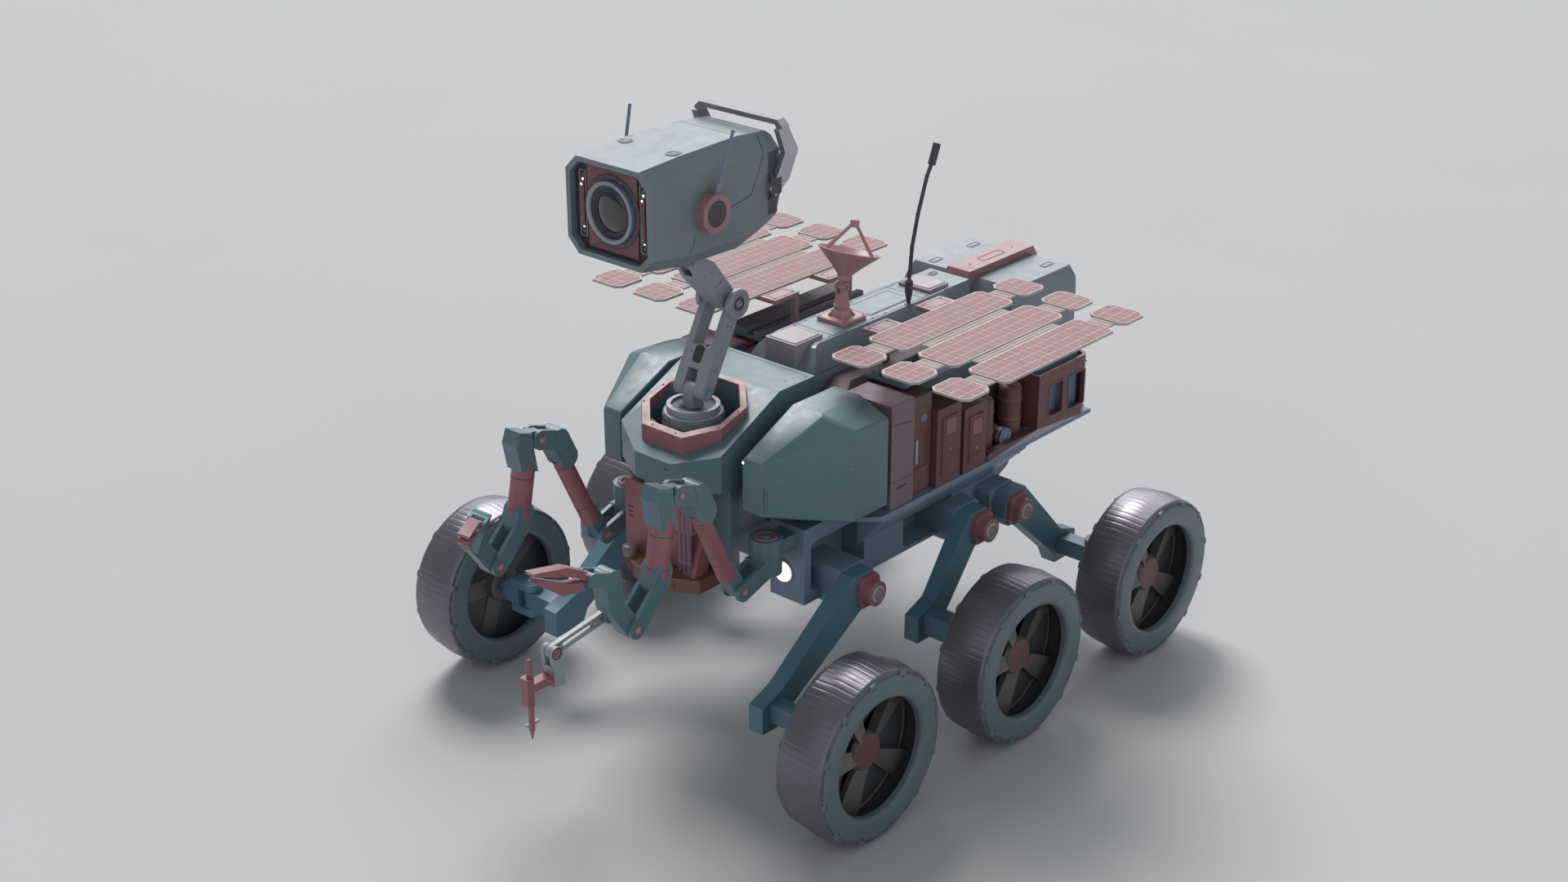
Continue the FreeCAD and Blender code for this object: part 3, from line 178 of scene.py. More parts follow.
def cell_glass(name, color):
    """Solar cell: fine contact fingers under a clear cover, each cell a little different."""
    n = Nodes(name)
    cell = n.step("ShaderNodeVectorMath", 0, {0: n.place, 1: (CELL_X / 1000.0, CELL_Y / 1000.0, 1.0)},
                  operation="SNAP")
    luck = n.step("ShaderNodeTexWhiteNoise", "Value", {"Vector": cell})
    tone = n.mix(luck, rgb(color, 0.96), rgb(color, 1.04))
    finger = n.step("ShaderNodeTexWave", "Fac", {"Vector": n.place, "Scale": 95.0}, bands_direction="Y")
    tone = n.fade(finger, 0.86, 1.0, 0.05, tone, rgb(color, 1.3))
    tone = n.fade(n.noise(30.0, 4.0), 0.35, 0.75, 0.25, tone, rgb(color, 0.84))
    cover = n.range(n.noise(60.0, 3.0), 0.3, 0.7, 0.42, 0.54)
    n.surface(Base_Color=tone, Roughness=cover, Specular_IOR_Level=0.25)
    return n.mat


def glass(name, color):
    """Dark lens glass: smooth, coated, with faint dust."""
    n = Nodes(name)
    dust = n.noise(160.0, 4.0, 0.7)
    tone = n.fade(dust, 0.55, 0.80, 0.3, rgb(color), rgb(color, 2.0))
    n.surface(Base_Color=tone, Roughness=n.range(dust, 0.4, 0.8, 0.05, 0.22), Coat_Weight=1.0,
              Coat_Roughness=0.04)
    return n.mat


def glow(name, color, strength):
    """Lit lens: brighter at fine prisms than between them."""
    n = Nodes(name)
    prism = n.noise(900.0, 1.0)
    light = n.fade(prism, 0.3, 0.7, 1.0, rgb(color, 0.92), rgb(color))
    n.surface(Emission_Color=light, Emission_Strength=strength, Base_Color=rgb(color, 0.9),
              Roughness=n.range(prism, 0.3, 0.7, 0.15, 0.3))
    return n.mat


# Pale edge colour: worn paint, and a painted highlight along the bevels.
PALE_EDGE = (0.40, 0.46, 0.49)
LIGHT = (1.0, 0.98, 0.94)
PAINTS = {  # colour, roughness, colour of the pale rubbed edges (partly worn paint, partly painted highlight), metal
    "blue": ((0.105, 0.188, 0.222), 0.38, PALE_EDGE),
    "blue_leg": ((0.096, 0.205, 0.275), 0.40, PALE_EDGE),
    "blue_pale": ((0.190, 0.245, 0.275), 0.36, (0.50, 0.54, 0.56)),
    "head": ((0.165, 0.212, 0.240), 0.36, (0.46, 0.50, 0.52)),
    "lilac": ((0.500, 0.488, 0.545), 0.38, (0.55, 0.55, 0.58)),
    "locker": ((0.146, 0.062, 0.066), 0.46, (0.34, 0.22, 0.23)),
    "link": ((0.300, 0.350, 0.365), 0.38, (0.55, 0.60, 0.62)),
    "rail": ((0.330, 0.345, 0.375), 0.40, (0.55, 0.56, 0.60)),
    "head_rear": ((0.235, 0.220, 0.245), 0.38, (0.50, 0.50, 0.54)),
    "shade": ((0.070, 0.066, 0.082), 0.50, (0.22, 0.21, 0.25)),
    "slate": ((0.165, 0.238, 0.322), 0.42, PALE_EDGE),
    "red": ((0.290, 0.122, 0.138), 0.40, (0.52, 0.36, 0.37)),
    "red_dark": ((0.185, 0.078, 0.084), 0.46, (0.36, 0.22, 0.23)),
    "orange": ((0.170, 0.078, 0.050), 0.45, (0.50, 0.34, 0.28)),
    "mauve": ((0.215, 0.132, 0.170), 0.42, (0.42, 0.34, 0.38)),
    "grey": ((0.285, 0.300, 0.345), 0.36, (0.50, 0.50, 0.55), 0.1),
    "hatch": ((0.370, 0.325, 0.342), 0.38, (0.70, 0.66, 0.66)),
    "dish": ((0.480, 0.270, 0.290), 0.38, (0.62, 0.48, 0.49)),
    "pink": ((0.345, 0.185, 0.200), 0.38, (0.55, 0.42, 0.43)),
    "umber": ((0.098, 0.070, 0.075), 0.60, (0.24, 0.19, 0.20)),
    "rim": ((0.118, 0.170, 0.186), 0.38, PALE_EDGE),
    "hub": ((0.140, 0.062, 0.061), 0.42, (0.36, 0.22, 0.20)),
}
M = {key: paint("paint_" + key, *look) for key, look in PAINTS.items()}
M.update({
    "line": paint("cell_line", (0.700, 0.655, 0.640), 0.50),
    "frame_pale": paint("panel_edge", (0.480, 0.420, 0.415), 0.50),
    "web": paint("panel_web", (0.330, 0.225, 0.232), 0.50),
    "black": paint("black_plastic", (0.020, 0.021, 0.024), 0.38, coat=0.3),
    # Dark joints, and painted shade for slots and gaps laid as flat dark sheets and bands.
    "dark": paint("dark_joint_and_cavity_shade", (0.036, 0.033, 0.038), 0.55),
    "vane": paint("wheel_vane", (0.150, 0.146, 0.142), 0.40, (0.20, 0.20, 0.20), 0.3),
    # Dark well of the wheels, also used for the two discs that close each wheel: painted shade.
    "well": paint("wheel_well_and_shade_disc", (0.066, 0.072, 0.078), 0.45),
    "tread": brushed("tread_metal", (0.186, 0.176, 0.208), 0.30, (150.0, 4.0, 150.0), 0.05, 0.6, 0.012),
    "steel": brushed("bare_steel", (0.300, 0.300, 0.325), 0.36, (60.0, 900.0, 60.0)),
    "cells": cell_glass("solar_cell", (0.300, 0.135, 0.142)),
    "glass": glass("lens_glass", (0.006, 0.006, 0.008)),
    "lamp": glow("lamp_lens", LIGHT, 3.0),
    # Glowing dots: the face's small lights, and the painted glint on the left fender.
    "dot": glow("light_dot", LIGHT, 2.0),
})


def dress(node, key, *more):
    """Gives a CAD node its materials; more are (key, test on a face's centre in mm and its normal)."""
    ob = NODES[node]
    ob.data.materials.clear()
    ob.data.materials.append(M[key])
    for index, (extra, test) in enumerate(more):
        ob.data.materials.append(M[extra])
        for face in ob.data.polygons:
            c = face.center * 1000.0
            c.x += ORIGIN_X
            if test(c, face.normal):
                face.material_index = index + 1


def soften(node, width):
    """Rounds the hard edges of a CAD node where it is shown."""
    ob = NODES[node]
    for face in ob.data.polygons:
        face.use_smooth = True
    filled(ob.modifiers.new("weld", "WELD"), merge_threshold=0.00002)
    filled(ob.modifiers.new("bevel", "BEVEL"), width=width / 1000.0, segments=2, limit_method="ANGLE",
           angle_limit=math.radians(28.0), use_clamp_overlap=True)
    filled(ob.modifiers.new("normals", "WEIGHTED_NORMAL"), weight=100, keep_sharp=True)


def finish(node, width, key, *more):
    dress(node, key, *more)
    soften(node, width)


# ---- new pieces
TREES = {}


def land(node, point, way):
    """Drops a point onto a CAD node along a direction: its place in mm and the surface's normal."""
    if node not in TREES:
        mesh = NODES[node].data
        faces = [face.vertices for face in mesh.polygons]
        TREES[node] = BVHTree.FromPolygons([v.co for v in mesh.vertices], faces)
    way = Vector(way).normalized()
    start = at(*point) - way * 0.4
    place, normal, _, _ = TREES[node].ray_cast(start, way)
    if place is None:
        raise ValueError("nothing under %s on %s" % (tuple(point), node))
    if normal.dot(way) > 0:
        normal = -normal
    place = place * 1000.0
    place.x += ORIGIN_X
    return place, normal.normalized()


class Spot:
    """A place on a surface: u runs across, v runs up, w runs out."""

    def __init__(self, origin, out, up=Z):
        self.o = Vector(origin)
        self.w = Vector(out).normalized()
        up = Vector(up)
        self.v = (up - self.w * up.dot(self.w)).normalized()
        self.u = self.v.cross(self.w)

    def __call__(self, u, v, w):
        return self.o + self.u * u + self.v * v + self.w * w

    def moved(self, u, v, w):
        """The same directions from another place."""
        spot = Spot(self(u, v, w), self.w, self.v)
        spot.u, spot.v, spot.w = self.u, self.v, self.w
        return spot


def beside(s, x, y, z):
    """A spot that faces out on one side, at y from the middle."""
    return Spot((x, s * y, z), (0, s, 0))


def on_top(x, y, z):
    """A spot that faces up."""
    return Spot((x, y, z), Z, X)


def ahead(x, y, z):
    """A spot that faces forward."""
    return Spot((x, y, z), X)


def landed(node, point, way, up=None):
    """A spot where a point lands on a CAD node."""
    return Spot(*land(node, point, way), up or (X if way == DOWN else Z))


def wall(y, *places):
    """Points at one y, from pairs of x and z."""
    return [(x, y, z) for x, z in places]


def roof(z, *places):
    """Points at one height, from pairs of x and y."""
    return [(x, y, z) for x, y in places]


def across(x, half, z):
    """A level line from the right to the left."""
    return [(x, -half, z), (x, half, z)]


def rounded(half_u, half_v, r, steps=3):
    """Rectangle with rounded corners, as (u, v) points."""
    points = []
    for cu, cv, start in ((1, 1, 0), (-1, 1, 90), (-1, -1, 180), (1, -1, 270)):
        for i in range(steps + 1):
            a = math.radians(start + 90.0 * i / steps)
            points.append((cu * (half_u - r) + r * math.cos(a), cv * (half_v - r) + r * math.sin(a)))
    return points


def shrunk(outline, d):
    """An outline drawn in by d on each side."""
    us, vs = zip(*outline)
    hu = (max(us) - min(us)) / 2
    hv = (max(vs) - min(vs)) / 2
    cu = min(us) + hu
    cv = min(vs) + hv
    return [(cu + (u - cu) * (1 - d / hu), cv + (v - cv) * (1 - d / hv)) for u, v in outline]


def turned(radius, angle):
    return radius * math.cos(angle), radius * math.sin(angle)


class Kit:
    """Collects one new piece from small parts, in mm, and hands it to its body."""

    def __init__(self, name, body):
        self.name = name
        self.body = body
        self.keys = []
        self.bm = bmesh.new()

    def index(self, key):
        if key not in self.keys:
            self.keys.append(key)
        return self.keys.index(key)

    def ring(self, points):
        return [self.bm.verts.new(at(*p)) for p in points]

    def skin(self, rows, key, closed=True, caps=True):
        """Faces between rows of points; each row is one ring."""
        mat = self.index(key)
        rings = [self.ring(row) for row in rows]
        n = len(rings[0])
        faces = []
        for a, b in zip(rings[:-1], rings[1:]):
            for i in range(n if closed else n - 1):
                j = (i + 1) % n
                faces.append(self.bm.faces.new((a[i], a[j], b[j], b[i])))
        if caps:
            faces.append(self.bm.faces.new(list(reversed(rings[0]))))
            faces.append(self.bm.faces.new(rings[-1]))
        for face in faces:
            face.material_index = mat

    def stack(self, spot, outline, levels, key, caps=True):
        """Joins one outline at several insets and heights."""
        self.skin([[spot(u, v, w) for u, v in shrunk(outline, d)] for d, w in levels], key, caps=caps)

    def plate(self, spot, size, high, key, bevel=0.8):
        """Raised plate with a chamfered top edge; its size is what rounded() takes."""
        self.stack(spot, rounded(*size), ((0, -SINK), (0, high - bevel), (bevel, high)), key)

    def rim(self, spot, size, width, high, key):
        """Raised band along a rounded outline."""
        half = ((0, -SINK), (0, high * 0.6), (width * 0.25, high))
        levels = half + tuple((width - d, w) for d, w in reversed(half))
        self.stack(spot, rounded(*size), levels, key, False)

    def lathe(self, spot, profile, key, steps=24, smooth=True):
        """Turns (radius, height) points about the spot's outward axis."""
        mat = self.index(key)
        angles = [2 * math.pi * i / steps for i in range(steps)]
        rings = []
        for r, w in profile:
            rings.append(self.ring([spot(*turned(r, a), w) for a in angles[:steps if r > 0.01 else 1]]))
        for a, b in zip(rings[:-1], rings[1:]):
            for i in range(steps):
                j = (i + 1) % steps
                corners = (a[i % len(a)], a[j % len(a)], b[j % len(b)], b[i % len(b)])
                face = self.bm.faces.new(list(dict.fromkeys(corners)))
                face.material_index = mat
                face.smooth = smooth

    def bolt(self, spot, r, high=1.2, key="steel"):
        """Round head with a socket."""
        low = high * 0.3
        profile = ((r, -SINK), (r, high * 0.6), (r * 0.82, high), (r * 0.5, high), (r * 0.42, low), (0, low))
        self.lathe(spot, profile, key, 12)

    def drop(self, node, points, way, r, high=1.2, key="steel"):
        """Bolts where points land on a CAD node."""
        for point in points:
            self.bolt(landed(node, point, way), r, high, key)

    def grid(self, spot, us, vs, w, r, high=1.4, key="steel"):
        """Bolts in rows and columns."""
        for u in us:
            for v in vs:
                self.bolt(spot.moved(u, v, w), r, high, key)

    def circle(self, spot, count, radius, first, w, r, high, key):
        """Bolts round a spot, from a first angle."""
        for i in range(count):
            a = math.radians(360.0 / count * i + first)
            self.bolt(spot.moved(*turned(radius, a), w), r, high, key)

    def seam(self, node, points, way, wide, lip, dark="dark", step=14.0):
        """Sealed joint line on a node's surface: a dark strip between two low lips; laid wide, the same
        strip is a band of painted shade.
        """
        places = []
        for k in range(len(points) - 1):
            a = Vector(points[k])
            b = Vector(points[k + 1])
            count = max(1, int((b - a).length / step))
            for i in range(count + (1 if k == len(points) - 2 else 0)):
                places.append(land(node, a.lerp(b, i / count), way))
        half = wide / 2
        section = ((-half - 0.9, -0.3), (-half, 0.5), (-half * 0.6, 0.2), (half * 0.6, 0.2), (half, 0.5),
                   (half + 0.9, -0.3))
        rows = []
        for k, (p, normal) in enumerate(places):
            before = places[max(k - 1, 0)][0]
            after = places[min(k + 1, len(places) - 1)][0]
            cross = normal.cross((after - before).normalized()).normalized()
            rows.append([p + cross * u + normal * w for u, w in section])
        for i, key in enumerate((lip, dark, dark, dark, lip)):
            self.skin([[row[i], row[i + 1]] for row in rows], key, closed=False, caps=False)

    def done(self):
        bmesh.ops.recalc_face_normals(self.bm, faces=self.bm.faces)
        mesh = bpy.data.meshes.new(self.name)
        self.bm.to_mesh(mesh)
        self.bm.free()
        ob = shown(self.name, mesh)
        for key in self.keys:
            mesh.materials.append(M[key])
        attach(ob, self.body)
        return ob


# ---- wheels
WHEEL_R = 260
WHEEL_X = (("front", 690), ("middle", 0), ("rear", -690))
WHEEL_Y = 736.5
TREAD_HALF = 75.7
LANDS = 76
GROOVE = 0.5
PROFILE_HALF = [  # offset from the middle, radius, share of the groove's depth
    (32, 256, 1), (63.5, 252.3, 1), (66, 251.9, 0), (TREAD_HALF - 2, 249.8, 0), (TREAD_HALF, 247.6, 0),
    (TREAD_HALF, 236, 0),
]
PROFILE = [(-off, r, deep) for off, r, deep in reversed(PROFILE_HALF)] + [(0, 259.7, 1)] + PROFILE_HALF
STATIONS = [(0, 1), (0.07, 0), (0.35, 0), (0.65, 0), (0.93, 0)]  # share of pitch, depth


def tyre(place, side, x, y):
    """Thin metal tread: shallow cross lines that catch the light."""
    kit = Kit("tread_%s_%s" % (place, side), "wheel_%s_%s" % (place, side))
    kit.index("tread")
    rings = []
    for i in range(LANDS):
        for share, deep in STATIONS:
            a = 2 * math.pi * (i + share) / LANDS
            section = [(off, r - GROOVE * deep * carry) for off, r, carry in PROFILE]
            rings.append(kit.ring([(x + r * math.sin(a), y + off, WHEEL_R + r * math.cos(a))
                                   for off, r in section]))
    count = len(PROFILE)
    for a, b in zip(rings, rings[1:] + rings[:1]):
        for k in range(count):
            m = (k + 1) % count
            face = kit.bm.faces.new((a[k], a[m], b[m], b[k]))
            face.smooth = 1 <= k <= count - 3
    ob = kit.done()
    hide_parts("tyre_%s_%s" % (place, side))


RING_HALF = [  # radius, offset outward: the ring's face, its rounded edges and the barrel's lip
    (173, 58), (173, 72), (175.5, 77.5), (181, 81), (188, 82), (234, 82), (237.5, 80.8),
    (238.8, 78), (239, 76.8), (249, 76.4), (249.6, 75.9), (235.7, 75.9),
]
RING = RING_HALF + [(r, -w) for r, w in reversed(RING_HALF)]
RING_FACE = 82
WELL = [(173, -58), (221.7, -42), (221.7, 42), (173, 58)]
VANES = 5
# radius, half width, height of the top edge, height of the low edge; behind them radius and rear face
VANE = [(48, 19, 27, 4), (78, 24, 22, -2), (130, 31, 17, -6), (222, 42, 11, -10)]
VANE_BACK = [(48, -20), (120, -17), (222, -17)]
CLIPS = 12
CLIP_R = 239.5


def spoke(degrees):
    a = math.radians(degrees)
    return Vector((math.sin(a), 0, math.cos(a)))


def wheel_rim(place, side, s, x, y):
    """Ring with clips on both faces, dark well, two dark discs that close the wheel behind the vanes
    (painted shade), five fan vanes and the hub.
    """
    kit = Kit("rim_%s_%s_shown" % (place, side), "wheel_%s_%s" % (place, side))
    middle = Spot((x, y, WHEEL_R), (0, s, 0))
    kit.lathe(middle, RING, "rim", 96)
    kit.lathe(middle, WELL, "well", 72)
    for w in (1, -1):
        gap = Spot(middle.o, (0, s * w, 0))
        kit.lathe(gap, [(239.4, 76.9), (248.6, 76.6)], "shade", 96)
    # Painted shade: two dark discs close the wheel behind the vanes, where its inside shows dark.
    kit.lathe(middle, [(50, -10), (222, -10)], "well", 72)
    kit.lathe(middle, [(222, -15), (50, -15)], "well", 72)
    kit.lathe(middle, [(212, -9.9), (209, -6.5), (204, -6.5), (201, -9.9)], "vane", 72)
    for i in range(VANES):
        spot = Spot(middle.o, (0, s, 0), spoke(360 / VANES * i + 18))
        rows = [[spot(-half, r, top + 6), spot(-half * 0.3, r, top + 2), spot(half, r, top - 6),
                 spot(half, r, low), spot(-half, r, low)] for r, half, top, low in VANE]
        kit.skin(rows, "vane")
        kit.skin([[spot(-30, r, -10), spot(30, r, -10), spot(30, r, rear), spot(-30, r, rear)]
                  for r, rear in VANE_BACK], "vane")
    kit.lathe(middle, [(56, -49), (56, 12), (59, 13), (59, 18), (56, 21), (55, 27), (52, 30)], "vane", 48)
    kit.lathe(middle, [(52, 30), (51, 31.4), (48.5, 31.8), (0, 32)], "hub", 48)
    kit.lathe(middle, [(20.2, -50), (53, -50), (56, -47)], "vane", 48)
    for w in (1, -1):
        for i in range(CLIPS):
            up = spoke(360 / CLIPS * i + 10)
            spot = Spot(middle.o + Vector((0, s * w * RING_FACE, 0)), (0, s * w, 0), up)
            kit.skin([[spot(u, CLIP_R + v, h) for u, v in rounded(11 - cut, 9 - cut, 3, 2)]
                      for h, cut in ((-6, 0), (-0.9, 0), (0, 1))], "rim")
    ob = kit.done()
    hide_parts("rim_%s_%s" % (place, side))


def wheels():
    for place, x in WHEEL_X:
        for side, s in SIDES:
            tyre(place, side, x, s * WHEEL_Y)
            wheel_rim(place, side, s, x, s * WHEEL_Y)


# ---- solar wings
STRIPS = (306.5, 486, 663.5)
STRIP_HALF = 71
SMALL_HALF = 66
WING_TOP = 1136
REAR_PANEL = (-625, -507)
MAIN_PANEL = (-457, 78)
FRONT_PANEL = (131, 250)
PANELS = [  # ends in x, half width, corner cut
    (*MAIN_PANEL, STRIP_HALF, 16), (*FRONT_PANEL, SMALL_HALF, 18), (*REAR_PANEL, SMALL_HALF, 18),
]
GAPS = [(MAIN_PANEL[1], FRONT_PANEL[0]), (REAR_PANEL[1], MAIN_PANEL[0])]
BORDER = 5


def eight(x0, x1, y0, y1, c):
    """Rectangle with its corners cut by c."""
    return [(x0 + c, y0), (x1 - c, y0), (x1, y0 + c), (x1, y1 - c), (x1 - c, y1), (x0 + c, y1),
            (x0, y1 - c), (x0, y0 + c)]


def cell_sheet(bm, outline, x0, y0):
    """Adds one panel's cells: a sheet cut on a grid, each cell raised from its pale line."""
    face = bm.faces.new([bm.verts.new(at(x, y, WING_TOP + 0.5)) for x, y in outline])
    face.normal_update()
    if face.normal.z < 0:
        face.normal_flip()
    geom = [face] + list(face.verts) + list(face.edges)
    for axis, way, cut, pitch in ((0, X, x0, CELL_X), (1, Y, y0, CELL_Y)):
        ends = [p[axis] for p in outline]
        while cut < max(ends) - 4:
            if cut > min(ends) + 4:
                place = at(0, cut, 0) if axis else at(cut, 0, 0)
                geom = bmesh.ops.bisect_plane(bm, geom=geom, plane_co=place, plane_no=way, dist=1e-6)["geom"]
            cut += pitch
    cells = [g for g in geom if isinstance(g, bmesh.types.BMFace)]
    line = bmesh.ops.inset_individual(bm, faces=cells, thickness=0.0018, depth=0)
    edge = bmesh.ops.inset_individual(bm, faces=cells, thickness=0.0004, depth=0.0005)
    for index, faces in ((0, cells), (0, edge["faces"]), (1, line["faces"])):
        for face in faces:
            face.material_index = index


def solar():
    for side, s in SIDES:
        kit = Kit("cells_" + side, "chassis")
        kit.index("cells")
        kit.index("line")
        for y in STRIPS:
            for x0, x1, half, c in PANELS:
                reach = half - BORDER
                outline = [(px, s * py) for px, py in
                           eight(x0 + BORDER, x1 - BORDER, y - reach, y + reach, c - 2)]
                if s < 0:
                    outline.reverse()
                first = x0 + BORDER if half == STRIP_HALF else (x0 + x1) / 2 - 2.5 * CELL_X
                cell_sheet(kit.bm, outline, first, s * y - 2 * CELL_Y)
        kit.done()

        trim = Kit("wing_trim_" + side, "chassis")
        low = WING_TOP - 3
        for y in STRIPS:
            for x0, x1 in GAPS:
                for x in (x0 + 14, x1 - 14):
                    trim.plate(on_top(x, s * y, low), (33, 2.2, 1.5), 1.2, "frame_pale", 0.6)
                for off in (-30, 30):
                    trim.bolt(Spot(((x0 + x1) / 2, s * y + off, low), Z), 3)
        for y0, y1 in zip(STRIPS[:-1], STRIPS[1:]):
            for off in (-7, 7):
                spot = on_top(-190, s * ((y0 + y1) / 2 + off), low)
                trim.plate(spot, (1.6, 186, 1.2), 1.2, "frame_pale", 0.5)
        trim.done()

        def web(c, n):
            return n.z > 0.9 and c.z < WING_TOP - 2

        finish("solar_" + side, 1.2, "frame_pale", ("web", web))


# ---- the CAD nodes' finishes
PLAIN = {  # nodes of one colour: key, width of the rounded edges
    "suspension_legs": ("blue_leg", 3), "chassis_frame": ("slate", 3), "axle_boxes": ("slate", 2.5),
    "hood": ("blue", 6), "hood_collar": ("red", 2.5), "fenders": ("blue", 7),
    "tanks": ("locker", 2.5), "deck_spine": ("blue_pale", 3.5), "deck_hatches": ("hatch", 3),
    "rear_box": ("blue_pale", 6), "rear_strap": ("pink", 3),
    "dish_base": ("dish", 1.5), "dish_yoke": ("dish", 1.2), "dish_bowl": ("dish", 0.8),
    "whip_antenna": ("shade", 0.8), "turret": ("grey", 2), "mast_arm": ("grey", 3),
    "mast_neck": ("grey", 3), "arm_mounts": ("blue", 2), "tool_link": ("link", 1.5),
    "solar_mounts": ("pink", 1.2),
}
TRAY_TOP = 562.5
RACK_FLOOR = 690.5


def shells():
    for node, (key, width) in PLAIN.items():
        finish(node, width, key)
    for place in ("front", "rear"):
        for side, _ in SIDES:
            finish("knuckle_%s_%s" % (place, side), 2, "blue_leg")

    def tub_top(c, n):
        return n.z > 0.6

    finish("body_tub", 3, "blue_pale", ("umber", tub_top))

    def cap_disc(c, n):
        return abs(c.y) > 491

    finish("leg_caps", 2, "red", ("hatch", cap_disc))

    def tray(c, n):
        return c.z < TRAY_TOP

    def blue_block(c, n):
        return c.y > 119 and c.z > TRAY_TOP and c.x < 601

    def lit_top(c, n):
        return n.z > 0.5 and c.z > 700

    finish("nose_bay", 3, "red", ("orange", tray), ("blue", blue_block), ("mauve", lit_top))

    def mauve_panel(c, n):
        return c.x > 65

    def grip(c, n):
        return 31 < c.x < 45 and 775 < c.z < 853 and abs(c.y) > 387.9

    finish("side_lockers", 2.5, "locker", ("mauve", mauve_panel), ("hatch", grip))

    def case(c, n):
        return -784.5 < c.x < -562.5 and 251 < abs(c.y) < 392.5 and c.z > RACK_FLOOR

    def rack_floor(c, n):
        return c.z < RACK_FLOOR

    finish("side_racks", 2, "locker", ("slate", case), ("rail", rack_floor))


ARM_Y = 270
# link: the tube's two ends in the arm's plane as (x, z), its radius, its bands' shares of the length
ARM_TUBES = {
    "lower": ((705, 625), (815, 862), 27, (0.27, 0.90)),
    "upper": ((950, 890), (981, 735), 33, (0.25, 0.83)),
}
FACE_Z = 1651
EAR_X = 638
EAR_Z = 1637


def tube_ends(s, part):
    (x0, z0), (x1, z1), _, _ = ARM_TUBES[part]
    return Vector((x0, s * ARM_Y, z0)), Vector((x1, s * ARM_Y, z1))


def arm_shells():
    for side, s in SIDES:
        for part in ("shoulder", "lower", "upper", "forearm"):
            red = []
            if part in ARM_TUBES:
                a, b = tube_ends(s, part)

                def on_tube(c, n, a=a, way=b - a, r=ARM_TUBES[part][2]):
                    share = (c - a).dot(way) / way.length_squared
                    out = c - a - way * share
                    round_it = abs(out.length - r) < 1.5 and n.dot(out.normalized()) > 0.95
                    return round_it and -0.05 < share < 1.02

                red = [("red", on_tube)]
            finish("arm_%s_%s" % (side, part), 2, "blue", *red)
        for jaw in ("upper", "lower"):
            finish("jaw_%s_%s" % (jaw, side), 1.2, "red")

    def hanger(c, n):
        return c.x < 1347 and (c.z > 583 or c.x < 1334)

    def cross(c, n):
        return 455 < c.z < 465 and abs(c.x - 1406) > 9

    finish("drill", 1, "red", ("link", hanger), ("rail", cross))


def head_shells():
    def from_ear(c):
        return math.hypot(c.x - EAR_X, c.z - EAR_Z)

    def from_lens(c):
        return math.hypot(c.y, c.z - FACE_Z)

    def ear(c, n):
        return from_ear(c) < 53 and abs(c.y) > 158.5

    def ear_hole(c, n):
        return from_ear(c) < 35 and 160 < abs(c.y) < 184

    def aerial(c, n):
        return abs(c.y) > 160 and c.z > EAR_Z + 56

    def guard(c, n):
        post = c.x < 405 and (abs(c.y) > 160.5 or (abs(abs(c.y) - 153) < 1.5 and abs(n.y) < 0.1))
        return post or (c.x < 372 and c.z > 1795.5)

    def guard_side(c, n):
        return guard(c, n) and abs(n.y) > 0.6

    def back(c, n):
        return c.x < 363 and c.z < 1795 and abs(c.y) < 143

    finish("head_shell", 3, "head", ("pink", ear), ("shade", ear_hole), ("slate", aerial),
           ("head_rear", guard), ("shade", back), ("lilac", guard_side))

    def panel(c, n):
        return c.x > 834.5 and abs(c.y) < 92.5 and n.x > 0.9 and from_lens(c) > 30

    def bar(c, n):
        return abs(c.y) > 104 and c.x > 832.5

    def barrel(c, n):
        return c.x > 835.5 and from_lens(c) < 85

    finish("head_face", 1, "dark", ("red_dark", panel), ("red_dark", bar), ("slate", barrel))
    dress("headlamps", "lamp")


# ---- added details
TURRET = Vector((548, 0, 0))
MAST_FOOT = Vector((548, 0, 1062))
MAST_ELBOW = Vector((424, 0, 1296))
DISH_PIVOT = Vector((-95, 0, 1190))
DISH_LEAN = -17
OVER_HEAD = 1900  # heights from which points drop
OVER_DECK = 1300
DECK_TOP = 1088
PAD_TOP = 1090
STRAP_TOP = 1092
HATCH_TOP = 1098
MOUNT_TOP = 1132
WHIP_X = -323
WHIP_Y = 74
STEP_FACE = 398  # faces of the lockers and racks, from the middle
LOCKER_FACE = 412
RACK_FACE = 420
DOOR_FACE = 424
TANK_Y = 352
TANK_TOP = 842
DRUM_X = -412
DRUM_Z = 708
LEG_PIVOTS = (311, -229, -408)
LEG_PIVOT_Z = 490
TOOL_Y = 232


